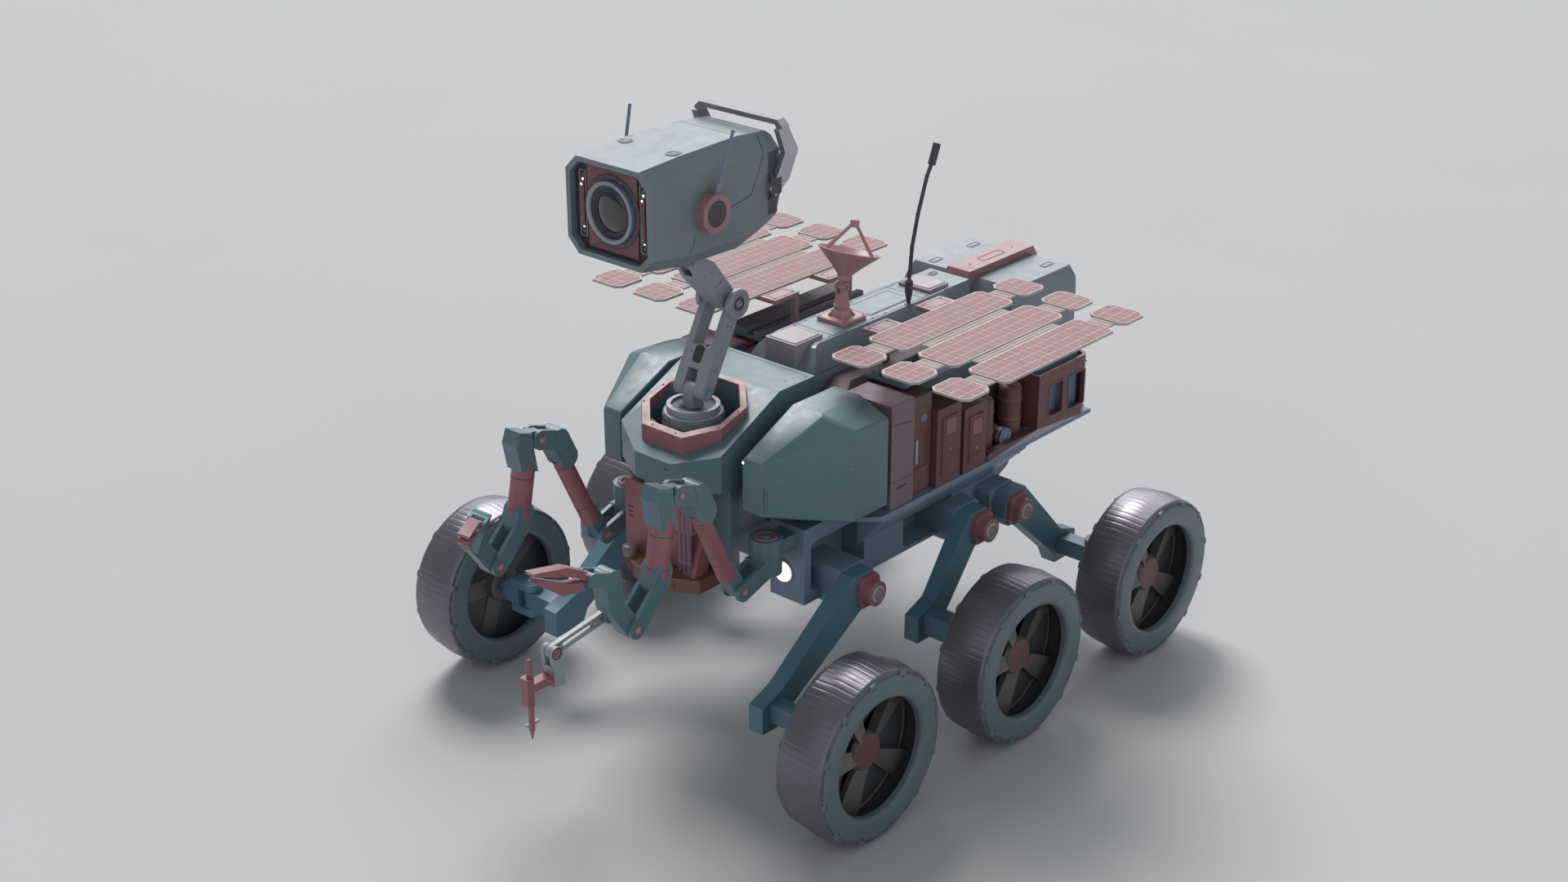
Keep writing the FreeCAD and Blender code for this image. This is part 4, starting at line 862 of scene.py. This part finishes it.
def head_details():
    kit = Kit("head_trim", "head")
    node = "head_shell"
    for s, way in FLANKS:
        y = s * 300
        kit.seam(node, wall(y, (692, 1580), (701, 1558), (712, 1538), (718, 1516)), way, 2.6, "head")
        kit.seam(node, wall(y, (560, 1628), (503, 1637), (474, 1643), (443, 1690), (419, 1742)), way, 2.8,
                 "head")
        kit.seam(node, [(419, y, OVER_HEAD), (404, s * 268, OVER_HEAD + 40)], (0, -s, -1), 2.8, "head")
        kit.rim(landed(node, (800, y, 1718), way), (5.5, 12, 5), 1.8, 0.7, "head")
        kit.rim(landed(node, (525, y, 1567), way, (0.35, 0, 1)), (17, 25, 14), 3, 0.7, "head")
        # Painted shade: a 40 mm dark band laid along the head's side where its rear recess is.
        kit.seam(node, wall(y, (377, 1566), (377, 1742)), way, 40, "shade", "shade")
        kit.drop(node, wall(y, (830, 1740), (830, 1560), (455, 1600), (590, 1512)), way, 4, key="slate")
        button = landed(node, (695, s * 88, OVER_HEAD), DOWN, X)
        kit.lathe(button, [(22, -SINK), (21, 1.4), (18.5, 1.8), (17, 1.2)], "head", 32)
        kit.lathe(button, [(17, 1.2), (15, 0.3), (7, 0.3)], "shade", 32)
        kit.lathe(button, [(7, 0.3), (6, 1), (0, 1.2)], "head", 16)
        ear = beside(s, EAR_X, 182, EAR_Z)
        cap = ((36, -0.2), (35, 1.8), (31, 2.2), (29, 0.6), (20, 0.9), (18, 2.6), (10, 3.6), (0, 3.8))
        kit.lathe(ear, cap, "shade", 36)
        kit.lathe(ear, [(50.5, 4.6), (49, 5.6), (45.5, 5.8), (44, 5)], "pink", 40)
        kit.circle(ear, 6, 40.5, 20, 5, 2.6, 1, "slate")
        foot = Spot((EAR_X - 8, s * 176, EAR_Z + 46), (-0.39, 0, 0.92), Y)
        kit.lathe(foot, [(11.5, 0), (12, 5), (10.5, 9), (9, 10)], "red", 20)
    seams = ((404, 108, 2.4, "head_rear"), (376, 106, 2.4, "head_rear"), (478, 100, 1.2, "head"))
    for x, half, wide, key in seams:
        kit.seam(node, across(x, half, OVER_HEAD), DOWN, wide, key, step=60)
    cover = landed(node, (200, 0, 1650), X)
    kit.rim(cover, (62, 58, 14), 3, 1.6, "shade")
    for v in (-20, -7, 7, 20):
        kit.plate(cover.moved(0, v, 0), (34, 3.4, 2), 1.6, "slate", 0.6)
    kit.grid(cover, (-51, 51), (-47, 47), 0, 3.8, 1.6)
    kit.done()


LENS = [  # profile of radius and height, key, steps
    ([(84.2, 11.5), (83.5, 13.4), (76, 13.4), (73.5, 12), (73.2, 4)], "grey", 64),
    ([(73.4, 6), (69, 5), (67, 2), (62, 1.4), (60, 3.2), (56, 3.2), (54.5, 1)], "black", 56),
    ([(54.5, 1), (50, 3.6), (40, 6.4), (26, 8.4), (12, 9.4), (0, 9.6)], "glass", 56),
    ([(101, -3.4), (100.5, -0.6), (98, 0.4), (87, 0.8), (84.2, 0.4)], "shade", 64),
]


def face_details():
    kit = Kit("face_trim", "head")
    centre = ahead(838, 0, FACE_Z)
    for profile, key, steps in LENS:
        kit.lathe(centre, profile, key, steps)
    kit.circle(centre, 8, 92.5, 22.5, 0.6, 2.8, 1, "slate")
    for s in (1, -1):
        y = s * 112
        kit.rim(ahead(832, y, FACE_Z), (12.5, 92, 5), 2.2, 2.2, "grey")
        kit.plate(ahead(837, y, FACE_Z), (4.6, 58, 3), 0.9, "red_dark", 0.5)
        for x, z in ((832, 66), (837, 53), (832, -64)):
            kit.lathe(ahead(x, y, FACE_Z + z), [(3.2, -0.3), (3.2, 1.6), (2.2, 2.3), (0, 2.6)], "dot", 16)
        for x, z in ((832, 78), (832, -78), (837.9, -50 if s > 0 else -40)):
            kit.bolt(ahead(x, y, FACE_Z + z), 3.2, key="slate")
        for z in (FACE_Z - 100, FACE_Z + 100):
            kit.bolt(ahead(835, s * 80, z), 3.2, key="slate")
            kit.rim(ahead(835, s * 34, z), (28, 5, 2), 1.6, 0.8, "red_dark")
    kit.done()


def turret_details():
    kit = Kit("turret_trim", "turret")
    flange = ((84.2, -6), (86.5, -5), (86.5, -1), (80, 0.6), (76.4, 0.4))
    kit.lathe(on_top(TURRET.x, 0, 1000), flange, "grey", 56)
    top = ((64.2, -1), (61, 0.6), (38, 0.8), (36, 2.2), (30, 2.2))
    kit.lathe(on_top(TURRET.x, 0, 1012), top, "shade", 48)
    for i in range(6):
        middle = math.radians(60 * i + 30)
        rows = []
        for r, grow in ((83.6, 0), (87.4, 0), (89, -1.6)):
            pad = [(middle + u / 86, 978 + v) for u, v in rounded(31 + grow, 15 + grow, 9, 4)]
            rows.append([(TURRET.x + r * math.cos(a), r * math.sin(a), z) for a, z in pad])
        kit.skin(rows, "blue_pale")
    for i in range(12):
        place = Vector((*turned(70, math.radians(30 * i + 15)), 1019.8))
        kit.bolt(Spot(TURRET + place, Z, X), 2.8)
    kit.done()


def mast_details():
    node = "mast_arm"
    arm = Kit("mast_trim", "mast_arm")
    for s, way in FLANKS:
        y = s * 200
        elbow = beside(s, MAST_ELBOW.x, 64, MAST_ELBOW.z)
        arm.lathe(elbow, [(40, -0.3), (39, 1.4), (35, 2), (29, 1.6), (27.5, 0.2)], "grey", 40)
        arm.lathe(elbow, [(27.5, 0.2), (26, -0.1), (12, 0.2)], "shade", 36)
        arm.lathe(elbow, [(12, 0.2), (11, 2.4), (5, 2.8), (4, 1.4), (0, 1.4)], "steel", 20)
        foot = beside(s, MAST_FOOT.x, 55, MAST_FOOT.z)
        arm.lathe(foot, [(19, -0.3), (18, 2), (12, 2.4), (10.5, 0.8), (0, 1)], "slate", 28)
        arm.seam(node, wall(y, (528, 1126), (506, 1114)), way, 2, "grey")
        arm.seam(node, wall(y, (466, 1242), (445, 1231)), way, 2, "grey")
        arm.drop(node, wall(y, (538, 1126), (512, 1116), (466, 1236), (448, 1226)), way, 3.2)
    along = (MAST_ELBOW - MAST_FOOT).normalized()
    front = Vector((along.z, 0, -along.x))
    slot = Spot(MAST_FOOT.lerp(MAST_ELBOW, 0.37) + front * 24, front, along)
    # Painted shade: the slot is a flat dark sheet inside a rim, not an opening.
    arm.plate(slot, (17, 26, 12, 5), 0.3, "dark", 0.2)
    arm.rim(slot, (19.5, 28.5, 13, 5), 2.2, 0.8, "grey")
    arm.done()

    neck = Kit("neck_trim", "mast_neck")
    for s, way in FLANKS:
        y = s * 200
        neck.drop("mast_neck", wall(y, (470, 1388), (500, 1402), (528, 1398)), way, 3)
        neck.seam("mast_neck", wall(y, (452, 1372), (488, 1352)), way, 2, "grey")
    neck.done()


def hood_details():
    kit = Kit("hood_trim", "chassis")
    for s, way in FLANKS:
        y = s * 600
        kit.seam("hood", wall(s * 300, (632, 924), (632, 836)), way, 2.6, "blue")
        kit.seam("fenders", wall(y, (598, 868), (598, 790)), way, 2.4, "blue")
        kit.seam("fenders", wall(y, (590, 862), (590, 800)), way, 1.2, "blue")
        for z in (966, 888, 806):
            boss = landed("fenders", (374, y, z), way)
            kit.lathe(boss, [(6.5, -SINK), (6.2, 1), (5, 1.4), (4.4, 0.4)], "blue", 16)
            kit.bolt(boss, 4.2, 1, "slate")
        kit.drop("fenders", wall(y, (250, 960), (250, 800), (560, 880)), way, 3.6, key="slate")
        kit.seam("fenders", roof(OVER_DECK, (234, s * 245), (234, s * 330)), DOWN, 2.2, "blue")
        if s > 0:
            # Painted glint: a glowing dot set where a bright spot shows at the left fender's front corner,
            # on the left side only.
            lamp = ahead(606.5, 243.5, 929)
            kit.lathe(lamp, [(5.2, -0.5), (5.2, 1.2), (4.2, 1.8)], "slate", 20)
            kit.lathe(lamp, [(4.2, 1.6), (3, 2.6), (0, 3)], "dot", 20)
        kit.drop("hood", roof(OVER_DECK, (330, s * 150), (268, s * 172)), DOWN, 4.5, 1.4)
    kit.plate(ahead(716, 54, 888), (9, 1.8, 1.5), 0.8, "dark", 0.4)
    kit.plate(ahead(716, 0, 848), (34, 2.2, 2), 1, "blue", 0.6)
    kit.seam("hood", across(262, 178, OVER_DECK), DOWN, 2, "blue", step=60)
    for x, y in ((667, 45), (600, 145), (520, 145)):
        kit.drop("hood_collar", roof(OVER_DECK, (x, y), (x, -y)), DOWN, 3.4, 1.4, "red")
    kit.done()


def deck_details():
    deck = Kit("deck_trim", "chassis")
    node = "deck_spine"
    for x0, x1, y0, y1 in ((60, 182, -60, 60), (-540, -438, -62, 64)):
        hatch = on_top((x0 + x1) / 2, (y0 + y1) / 2, HATCH_TOP)
        hu = (y1 - y0) / 2
        hv = (x1 - x0) / 2
        # Painted shade: a dark band round each hatch stands for the shaded gap between hatch and deck.
        deck.rim(hatch, (hu - 5, hv - 5, 6), 2.4, 0.5, "dark")
        deck.plate(hatch, (hu - 9, hv - 9, 5), 1.8, "hatch", 1)
        deck.grid(hatch, (15 - hu, hu - 15), (15 - hv, hv - 15), 1.6, 2.4, 0.9, "hatch")
    for s, way in FLANKS:
        deck.seam(node, roof(OVER_DECK, (98, s * 72), (-486, s * 72)), DOWN, 1.8, "blue_pale", step=90)
        deck.drop(node, [(x, s * 66, OVER_DECK) for x in (40, -10, -160, -220, -420)], DOWN, 3, key="slate")
        deck.drop(node, [(x, s * 300, 1026) for x in (60, -120, -300, -460)], way, 3.4, key="slate")
        deck.seam(node, wall(s * 300, (150, 1020), (-486, 1020)), way, 2, "blue_pale", step=90)
    for x in (28, -396):
        deck.seam(node, across(x, 76, OVER_DECK), DOWN, 2, "blue_pale", step=60)
    deck.rim(on_top(-270, 0, PAD_TOP), (48, 98, 4), 2, 0.9, "blue_pale")
    filler = on_top(-590, -40, DECK_TOP)
    deck.rim(filler, (14, 20, 13, 6), 3, 1.6, "blue_pale")
    deck.plate(filler, (9, 15, 8, 6), 0.7, "shade", 0.4)
    base = on_top(DISH_PIVOT.x, 0, 1100)
    deck.grid(base, (-46, 46), (-46, 46), 0, 4, 2)
    deck.rim(base, (52, 52, 8), 2, 0.8, "red")
    for x in (-745, -945):
        for y in (148, -148):
            latch = on_top(x, y, 1067)
            deck.rim(latch, (13, 27, 7), 2.4, 1.2, "shade")
            deck.plate(latch, (7, 18, 4), 1, "blue_pale", 0.6)
    deck.rim(on_top(-842, 0, STRAP_TOP), (17, 58, 8), 2.6, 1.3, "red")
    for x in (-730, -955):
        deck.bolt(on_top(x, 0, STRAP_TOP), 4.5, 1.6)
    for s in (1, -1):
        for x0, x1 in ((-98, 13), (-352, -235)):
            for x in (x0 + 14, x1 - 14):
                deck.bolt(on_top(x, s * 184, MOUNT_TOP), 4, 2.2)
            deck.rim(on_top((x0 + x1) / 2, s * 202, MOUNT_TOP), (22, 40, 4), 2, 0.9, "mauve")
    whip = on_top(WHIP_X, WHIP_Y, 1164)
    deck.lathe(whip, [(12.2, -8), (13, -6), (13, -2), (10, 1), (6.2, 4)], "shade", 20)
    deck.lathe(on_top(WHIP_X, WHIP_Y, DECK_TOP), [(13, 0), (12, 2.4), (8, 3.4), (5.4, 3.4)], "slate", 20)
    for s in (1, -1):
        back = Spot((-1022, s * 130, 915), -X)
        deck.rim(back, (58, 38, 9), 2.6, 1.2, "blue_pale")
        deck.grid(back, (-49, 49), (-29, 29), 0, 3.4)
        deck.plate(back, (26, 5, 3), 2, "grey", 0.8)
    deck.done()


def locker_details(kit, s, way):
    """Seams, slot and bolts of the lockers, with the two doors behind them."""
    kit.seam("side_lockers", wall(s * 600, (164, 940), (72, 928)), way, 2.4, "mauve")
    kit.seam("side_lockers", wall(s * 600, (164, 762), (72, 762)), way, 1.6, "mauve")
    slot = beside(s, 118, LOCKER_FACE, 738)
    kit.rim(slot, (27, 5, 3), 1.6, 1, "mauve")
    # Painted shade: the slot is a flat dark sheet inside a rim, not an opening.
    kit.plate(slot, (24, 2.6, 1.6), 0.4, "dark", 0.2)
    for xs, y, zs, r in (((80, 156), LOCKER_FACE, (700, 972), 3.4), ((-18, 50), STEP_FACE, (706, 960), 3.2)):
        for x in xs:
            for z in zs:
                kit.bolt(beside(s, x, y, z), r, 1.4)
    cap = ((13, -SINK), (12, 2), (8, 2.4), (6.6, 0.8), (0, 0.8))
    kit.lathe(beside(s, 4, STEP_FACE, 912), cap, "slate", 24)
    for x, top in ((-93, 876), (-222, 834)):
        door = beside(s, x, DOOR_FACE, top - 14)
        kit.plate(door, (22, 24, 3), 2.2, "red", 1)
        kit.rim(door.moved(0, 0, 2), (13, 14, 12, 5), 2.4, 0.9, "mauve")
        kit.grid(door, (-17.5, 17.5), (-19.5, 19.5), 2, 1.8, 0.8)
        lower = beside(s, x, DOOR_FACE, top - 74)
        kit.rim(lower, (23, 28, 8), 2.6, 1.2, "red_dark")
        kit.bolt(lower.moved(0, -12, 0), 4.5, 2.4)
        for z in (714, 724, 734):
            kit.plate(beside(s, x, DOOR_FACE, z), (20, 2, 1.5), 1.2, "red_dark", 0.6)


TANK_CAP = ((36, -0.2), (33, 6), (24, 12), (15, 15), (15, 22), (18, 23), (18, 30), (12, 33), (0, 33.5))


def rack_details(kit, s):
    """Caps and straps of the tanks, the drum, the windows' frames and the case's lid."""
    for x in (-340, -484):
        kit.lathe(on_top(x, s * TANK_Y, TANK_TOP), TANK_CAP, "locker", 28)
        for z in (TANK_TOP - 34, TANK_TOP - 96):
            strap = ((35.8, -5), (37.6, -4), (37.6, 4), (35.8, 5))
            kit.lathe(on_top(x, s * TANK_Y, z), strap, "red_dark", 32)
    drum_end = ((30, -SINK), (29, 2), (24, 2.4), (22, 0.8), (8, 1), (7, 3), (0, 3.2))
    kit.lathe(beside(s, DRUM_X, 392, DRUM_Z), drum_end, "slate", 28)
    for y in (346, 378):
        kit.lathe(beside(s, DRUM_X, y, DRUM_Z), [(29.8, -4), (31.4, -3), (31.4, 3), (29.8, 4)], "steel", 28)
    for x0, x1, z0, z1 in ((-668, -600, 724, 826), (-786, -704, 716, 826)):
        window = beside(s, (x0 + x1) / 2, RACK_FACE, (z0 + z1) / 2)
        kit.rim(window, ((x1 - x0) / 2 + 6, (z1 - z0) / 2 + 6, 9), 6, 1.6, "locker")
    for x, y in ((-556, RACK_FACE), (-686, RACK_FACE), (-794, RACK_FACE - 1)):
        for z in (700, 852):
            kit.bolt(beside(s, x, y, z), 3.2, 1.4)
    lid = on_top(-673, s * 322, 910)
    kit.plate(lid, (56, 96, 8), 2.4, "slate", 1.4)
    for v in (-70, 70):
        kit.rim(lid.moved(0, v, 2.2), (20, 8, 4), 2, 1, "slate")


def frame_details(kit, s, way):
    """Plate over the middle leg, bolts of the beam and the lamp's ring."""
    patch = beside(s, 88, 330, 560)
    outline = [(-62, -70), (62, -70), (62, 58), (50, 70), (-50, 70), (-62, 58)]
    kit.stack(patch, outline, ((0, -SINK), (0, 1.2), (1.2, 2.4)), "slate")
    kit.grid(patch, (-54, 54), (-62, 56), 2.2, 3.4)
    kit.drop("chassis_frame", [(x, s * 600, 640) for x in (-470, -380, 440)], way, 4, 1.6)
    lamp = ahead(450, s * 253, 537)
    kit.lathe(lamp, [(38, -0.3), (37, 3.4), (32, 4.6), (29.5, 3), (28.2, 0.4)], "slate", 40)


def side_details():
    kit = Kit("side_trim", "chassis")
    for s, way in FLANKS:
        locker_details(kit, s, way)
        rack_details(kit, s)
        frame_details(kit, s, way)
    kit.done()


def cap_details():
    caps = Kit("cap_trim", "chassis")
    for x in LEG_PIVOTS:
        for s in (1, -1):
            cap = beside(s, x, 487, LEG_PIVOT_Z)
            caps.lathe(cap, [(35.5, -0.3), (34.5, 1.6), (30.5, 1.8), (29.5, 0.2)], "red", 40)
            caps.lathe(cap, [(26.5, -0.2), (25.5, 3.2), (21, 4), (18.1, 4.4)], "hatch", 36)
            tip = beside(s, x, 492, LEG_PIVOT_Z)
            caps.lathe(tip, [(15, -0.2), (14.5, 0.9), (12.5, 0.9), (12, 0.1)], "shade", 28)
            caps.lathe(tip, [(6, -0.2), (5.4, 1.6), (2.6, 1.9), (2, 0.8), (0, 0.8)], "steel", 16)
            for z in (LEG_PIVOT_Z - 33, LEG_PIVOT_Z + 37):
                for u in (-32, 32):
                    caps.bolt(beside(s, x + u, 460, z), 3.4, 1.4)
    caps.done()


def nose_details():
    nose = Kit("nose_trim", "chassis")
    for y in (72, 89, 106):
        pipe = Spot((684, y, 564), Z, Y)
        nose.lathe(pipe, [(0, 0), (5.5, 0), (7.5, 2), (7.5, 240), (5.5, 242), (0, 242)], "mauve", 16)
        for z in (600, 752):
            nose.lathe(on_top(684, y, z), [(7.4, -5), (9, -4), (9, 4), (7.4, 5)], "mauve", 16)
    for z in (690, 675, 660):
        nose.plate(ahead(660, -150, z), (10, 2.6, 2), 0.8, "dark", 0.4)
    back = (-1, 0, 0)
    nose.seam("nose_bay", [(900, -62, 800), (900, -62, 530)], back, 2.4, "red")
    bolts = ((-160, 740), (-80, 740), (-160, 560), (-80, 560), (-44, 796), (56, 796), (-44, 712), (44, 580))
    nose.drop("nose_bay", [(900, y, z) for y, z in bolts], back, 3.2, 1.4)
    nose.plate(ahead(664, 0, 640), (38, 28, 6), 2, "red", 1.2)
    nose.lathe(on_top(700, -118, 562), [(22, 0), (22, 24), (19, 28), (8, 29), (0, 29)], "mauve", 24)
    nose.rim(Spot((715, 100, 541), (0.768, 0.64, 0)), (24, 12, 4), 2.5, 1.2, "orange")
    nose.rim(ahead(740, 0, 541), (44, 12, 4), 2.5, 1.2, "orange")
    nose.done()


ARM_PINS = [  # joint, link that carries it, its place, half width, sides of the nut
    ("shoulder", "shoulder", 669, 572, 34, 24), ("elbow", "lower", 905, 952, 30, 6),
    ("wrist", "upper", 1083, 625, 32, 24),
]
ARM_BOLTS = {"lower": ((812, 878), (842, 944)), "upper": ((986, 740), (1040, 655), (962, 900))}


def arm_mount_details(side, s):
    base = Kit("arm_mount_trim_" + side, "chassis")
    top = on_top(545, s * ARM_Y, 690)
    base.lathe(top, [(36, -0.3), (35, 2.6), (27, 3.2), (22, 2.2), (21, 0.4)], "red", 36)
    base.lathe(top, [(21, 0.4), (13, 1), (11, 3.4), (6, 3.8), (0, 3.6)], "blue", 28)
    base.done()


def arm_pin_details(side, s):
    for name, part, x, z, half, steps in ARM_PINS:
        kit = Kit("arm_%s_trim_%s" % (name, side), "arm_%s_%s" % (side, part))
        for w in (1, -1):
            pin = Spot((x, s * ARM_Y + w * half, z), (0, w, 0))
            kit.lathe(pin, [(14, -0.3), (13.2, 2), (9.5, 2.4), (8.8, 1)], "red", steps, False)
            kit.lathe(pin, [(8.8, 1), (8, 1.4), (0, 1.6)], "hatch", 20)
        kit.done()


def arm_tube_details(side, s):
    """Two bands round each tube, with the link's bolts and joint line."""
    for part, (_, _, r, shares) in ARM_TUBES.items():
        node = "arm_%s_%s" % (side, part)
        kit = Kit("arm_%s_bands_%s" % (part, side), node)
        a, b = tube_ends(s, part)
        lip = r + 0.9
        for share in shares:
            band = Spot(a.lerp(b, share), b - a, Y)
            kit.lathe(band, [(r - 0.2, -2.6), (lip, -1.8), (lip, -1.1)], "red", 40)
            kit.lathe(band, [(lip, -1.1), (r + 0.15, -0.8), (r + 0.15, 0.8), (lip, 1.1)], "dark", 40)
            kit.lathe(band, [(lip, 1.1), (lip, 1.8), (r - 0.2, 2.6)], "red", 40)
        for w, way in FLANKS:
            y = s * ARM_Y + w * 200
            if part == "lower":
                kit.seam(node, wall(y, (858, 960), (848, 918)), way, 1.6, "blue", step=40)
            kit.drop(node, wall(y, *ARM_BOLTS[part]), way, 3)
        kit.done()


def hand_details(side, s):
    node = "arm_%s_forearm" % side
    hand = Kit("forearm_trim_" + side, node)
    for w, way in FLANKS:
        y = s * ARM_Y + w * 200
        hand.drop(node, wall(y, (1104, 654), (1130, 690)), way, 3)
        hand.seam(node, wall(y, (1092, 664), (1118, 648)), way, 1.8, "blue", step=40)
    hand.done()


def tool_details():
    tool = Kit("tool_trim", "drill")
    for w in (1, -1):
        pivot = Spot((1328, TOOL_Y + w * 22, 641), (0, w, 0))
        tool.lathe(pivot, [(17, -0.3), (16.6, 1.4), (14.6, 1.6), (14.2, 0.3)], "dark", 28)
        tool.lathe(pivot, [(13.8, -0.2), (13, 1.6), (9, 2), (7, 1), (0, 1.2)], "red", 28)
    for x in (1350, 1372):
        tool.bolt(Spot((x, 246, 568), Y), 3, 1.4)
    tool.lathe(on_top(1406, TOOL_Y, 645), [(8, -0.5), (6.5, 3), (3, 5), (0, 5.5)], "red", 20)
    tool.lathe(on_top(1406, TOOL_Y, 610), [(7.9, -3), (9.6, -2), (9.6, 2), (7.9, 3)], "steel", 20)
    tool.done()
    link = Kit("link_trim", "tool_link")
    for w, way in FLANKS:
        link.drop("tool_link", wall(TOOL_Y + w * 100, (1160, 665), (1308, 644)), way, 3, 1)
    link.done()


def arm_details():
    for side, s in SIDES:
        arm_mount_details(side, s)
        arm_pin_details(side, s)
        arm_tube_details(side, s)
        hand_details(side, s)
    tool_details()


def dish_details():
    lean = math.radians(DISH_LEAN)
    axis = Vector((math.sin(lean), 0, math.cos(lean)))
    kit = Kit("dish_trim", "dish")
    for height, profile, steps in (
            (107.5, [(94.3, -1.8), (95.2, 0), (94.6, 1.8), (92.6, 2.4), (90.8, 1.2)], 56),
            (90, [(74, -0.6), (73.4, 0.6)], 48),
            (200, [(14, -0.2), (12, 2.4), (5, 3.4), (0, 3.6)], 24),
            (52, [(13, 0), (13, 4), (9, 7), (9, 16), (6, 18), (0, 18)], 24)):
        kit.lathe(Spot(DISH_PIVOT + axis * height, axis, Y), profile, "dish", steps)
    kit.done()
    yoke = Kit("dish_yoke_trim", "dish_turn")
    for w in (1, -1):
        yoke.bolt(beside(w, DISH_PIVOT.x, 18, DISH_PIVOT.z), 7, 2.2)
    yoke.lathe(on_top(DISH_PIVOT.x, 0, 1130), [(22.9, -1), (25.2, 0), (25.2, 5), (22.4, 6.5)], "dish", 28)
    yoke.done()


# ---- studio
FLOOR_HALF = 60.0  # metres
SUNS = [  # name, direction, strength, spread in degrees, colour
    ("key", (0.32, 0.55, -0.77), 2.1, 24.0, (1.0, 0.98, 0.96)),
    ("sheen", (0.70, 0.52, -0.48), 1.1, 42.0, (0.97, 0.98, 1.0)),
    ("side", (-0.05, -0.92, -0.38), 0.32, 60.0, (0.95, 0.97, 1.0)),
    ("front", (-0.85, -0.15, -0.50), 0.30, 60.0, (0.97, 0.98, 1.0)),
]


def studio_floor():
    mesh = bpy.data.meshes.new("floor")
    corners = [(u * FLOOR_HALF, v * FLOOR_HALF, 0) for u, v in ((-1, -1), (1, -1), (1, 1), (-1, 1))]
    mesh.from_pydata(corners, [], [(0, 1, 2, 3)])
    floor = shown("floor", mesh)
    n = Nodes("studio_floor")
    tone = n.mix(n.noise(0.6, 2.0), (0.53, 0.535, 0.545, 1), (0.56, 0.565, 0.575, 1))
    n.surface(Base_Color=tone, Roughness=0.85)
    mesh.materials.append(n.mat)


def sky(scene):
    """Pale light from all round; the camera itself sees the floor's tone behind the rover."""
    world = bpy.data.worlds.new("studio")
    world.use_nodes = True
    scene.world = world
    tree = world.node_tree
    light = tree.nodes["Background"]
    light.inputs["Color"].default_value = (0.93, 0.97, 1.0, 1)
    light.inputs["Strength"].default_value = 0.26
    seen = tree.nodes.new("ShaderNodeBackground")
    seen.inputs["Color"].default_value = (0.585, 0.595, 0.605, 1)
    ray = tree.nodes.new("ShaderNodeLightPath")
    either = tree.nodes.new("ShaderNodeMixShader")
    for output, socket in ((ray.outputs["Is Camera Ray"], either.inputs[0]),
                           (light.outputs[0], either.inputs[1]), (seen.outputs[0], either.inputs[2]),
                           (either.outputs[0], tree.nodes["World Output"].inputs["Surface"])):
        tree.links.new(output, socket)


def studio():
    scene = bpy.context.scene
    scene.view_settings.view_transform = "Standard"
    studio_floor()
    sky(scene)
    for name, way, strength, spread, color in SUNS:
        data = filled(bpy.data.lights.new(name, "SUN"), energy=strength, angle=math.radians(spread),
                      color=color)
        filled(shown(name, data), rotation_mode="QUATERNION",
               rotation_quaternion=Vector(way).to_track_quat("-Z", "Y"))
    data = filled(bpy.data.cameras.new("camera"), lens=50.18, sensor_width=36.0)
    turn = (math.radians(90.0 - 24.17), 0.0, math.radians(131.57))
    scene.camera = filled(shown("camera", data), location=(4.403, 3.933, 3.433), rotation_euler=turn)


wheels()
solar()
shells()
arm_shells()
head_shells()
head_details()
face_details()
turret_details()
mast_details()
hood_details()
deck_details()
side_details()
cap_details()
nose_details()
arm_details()
dish_details()
studio()
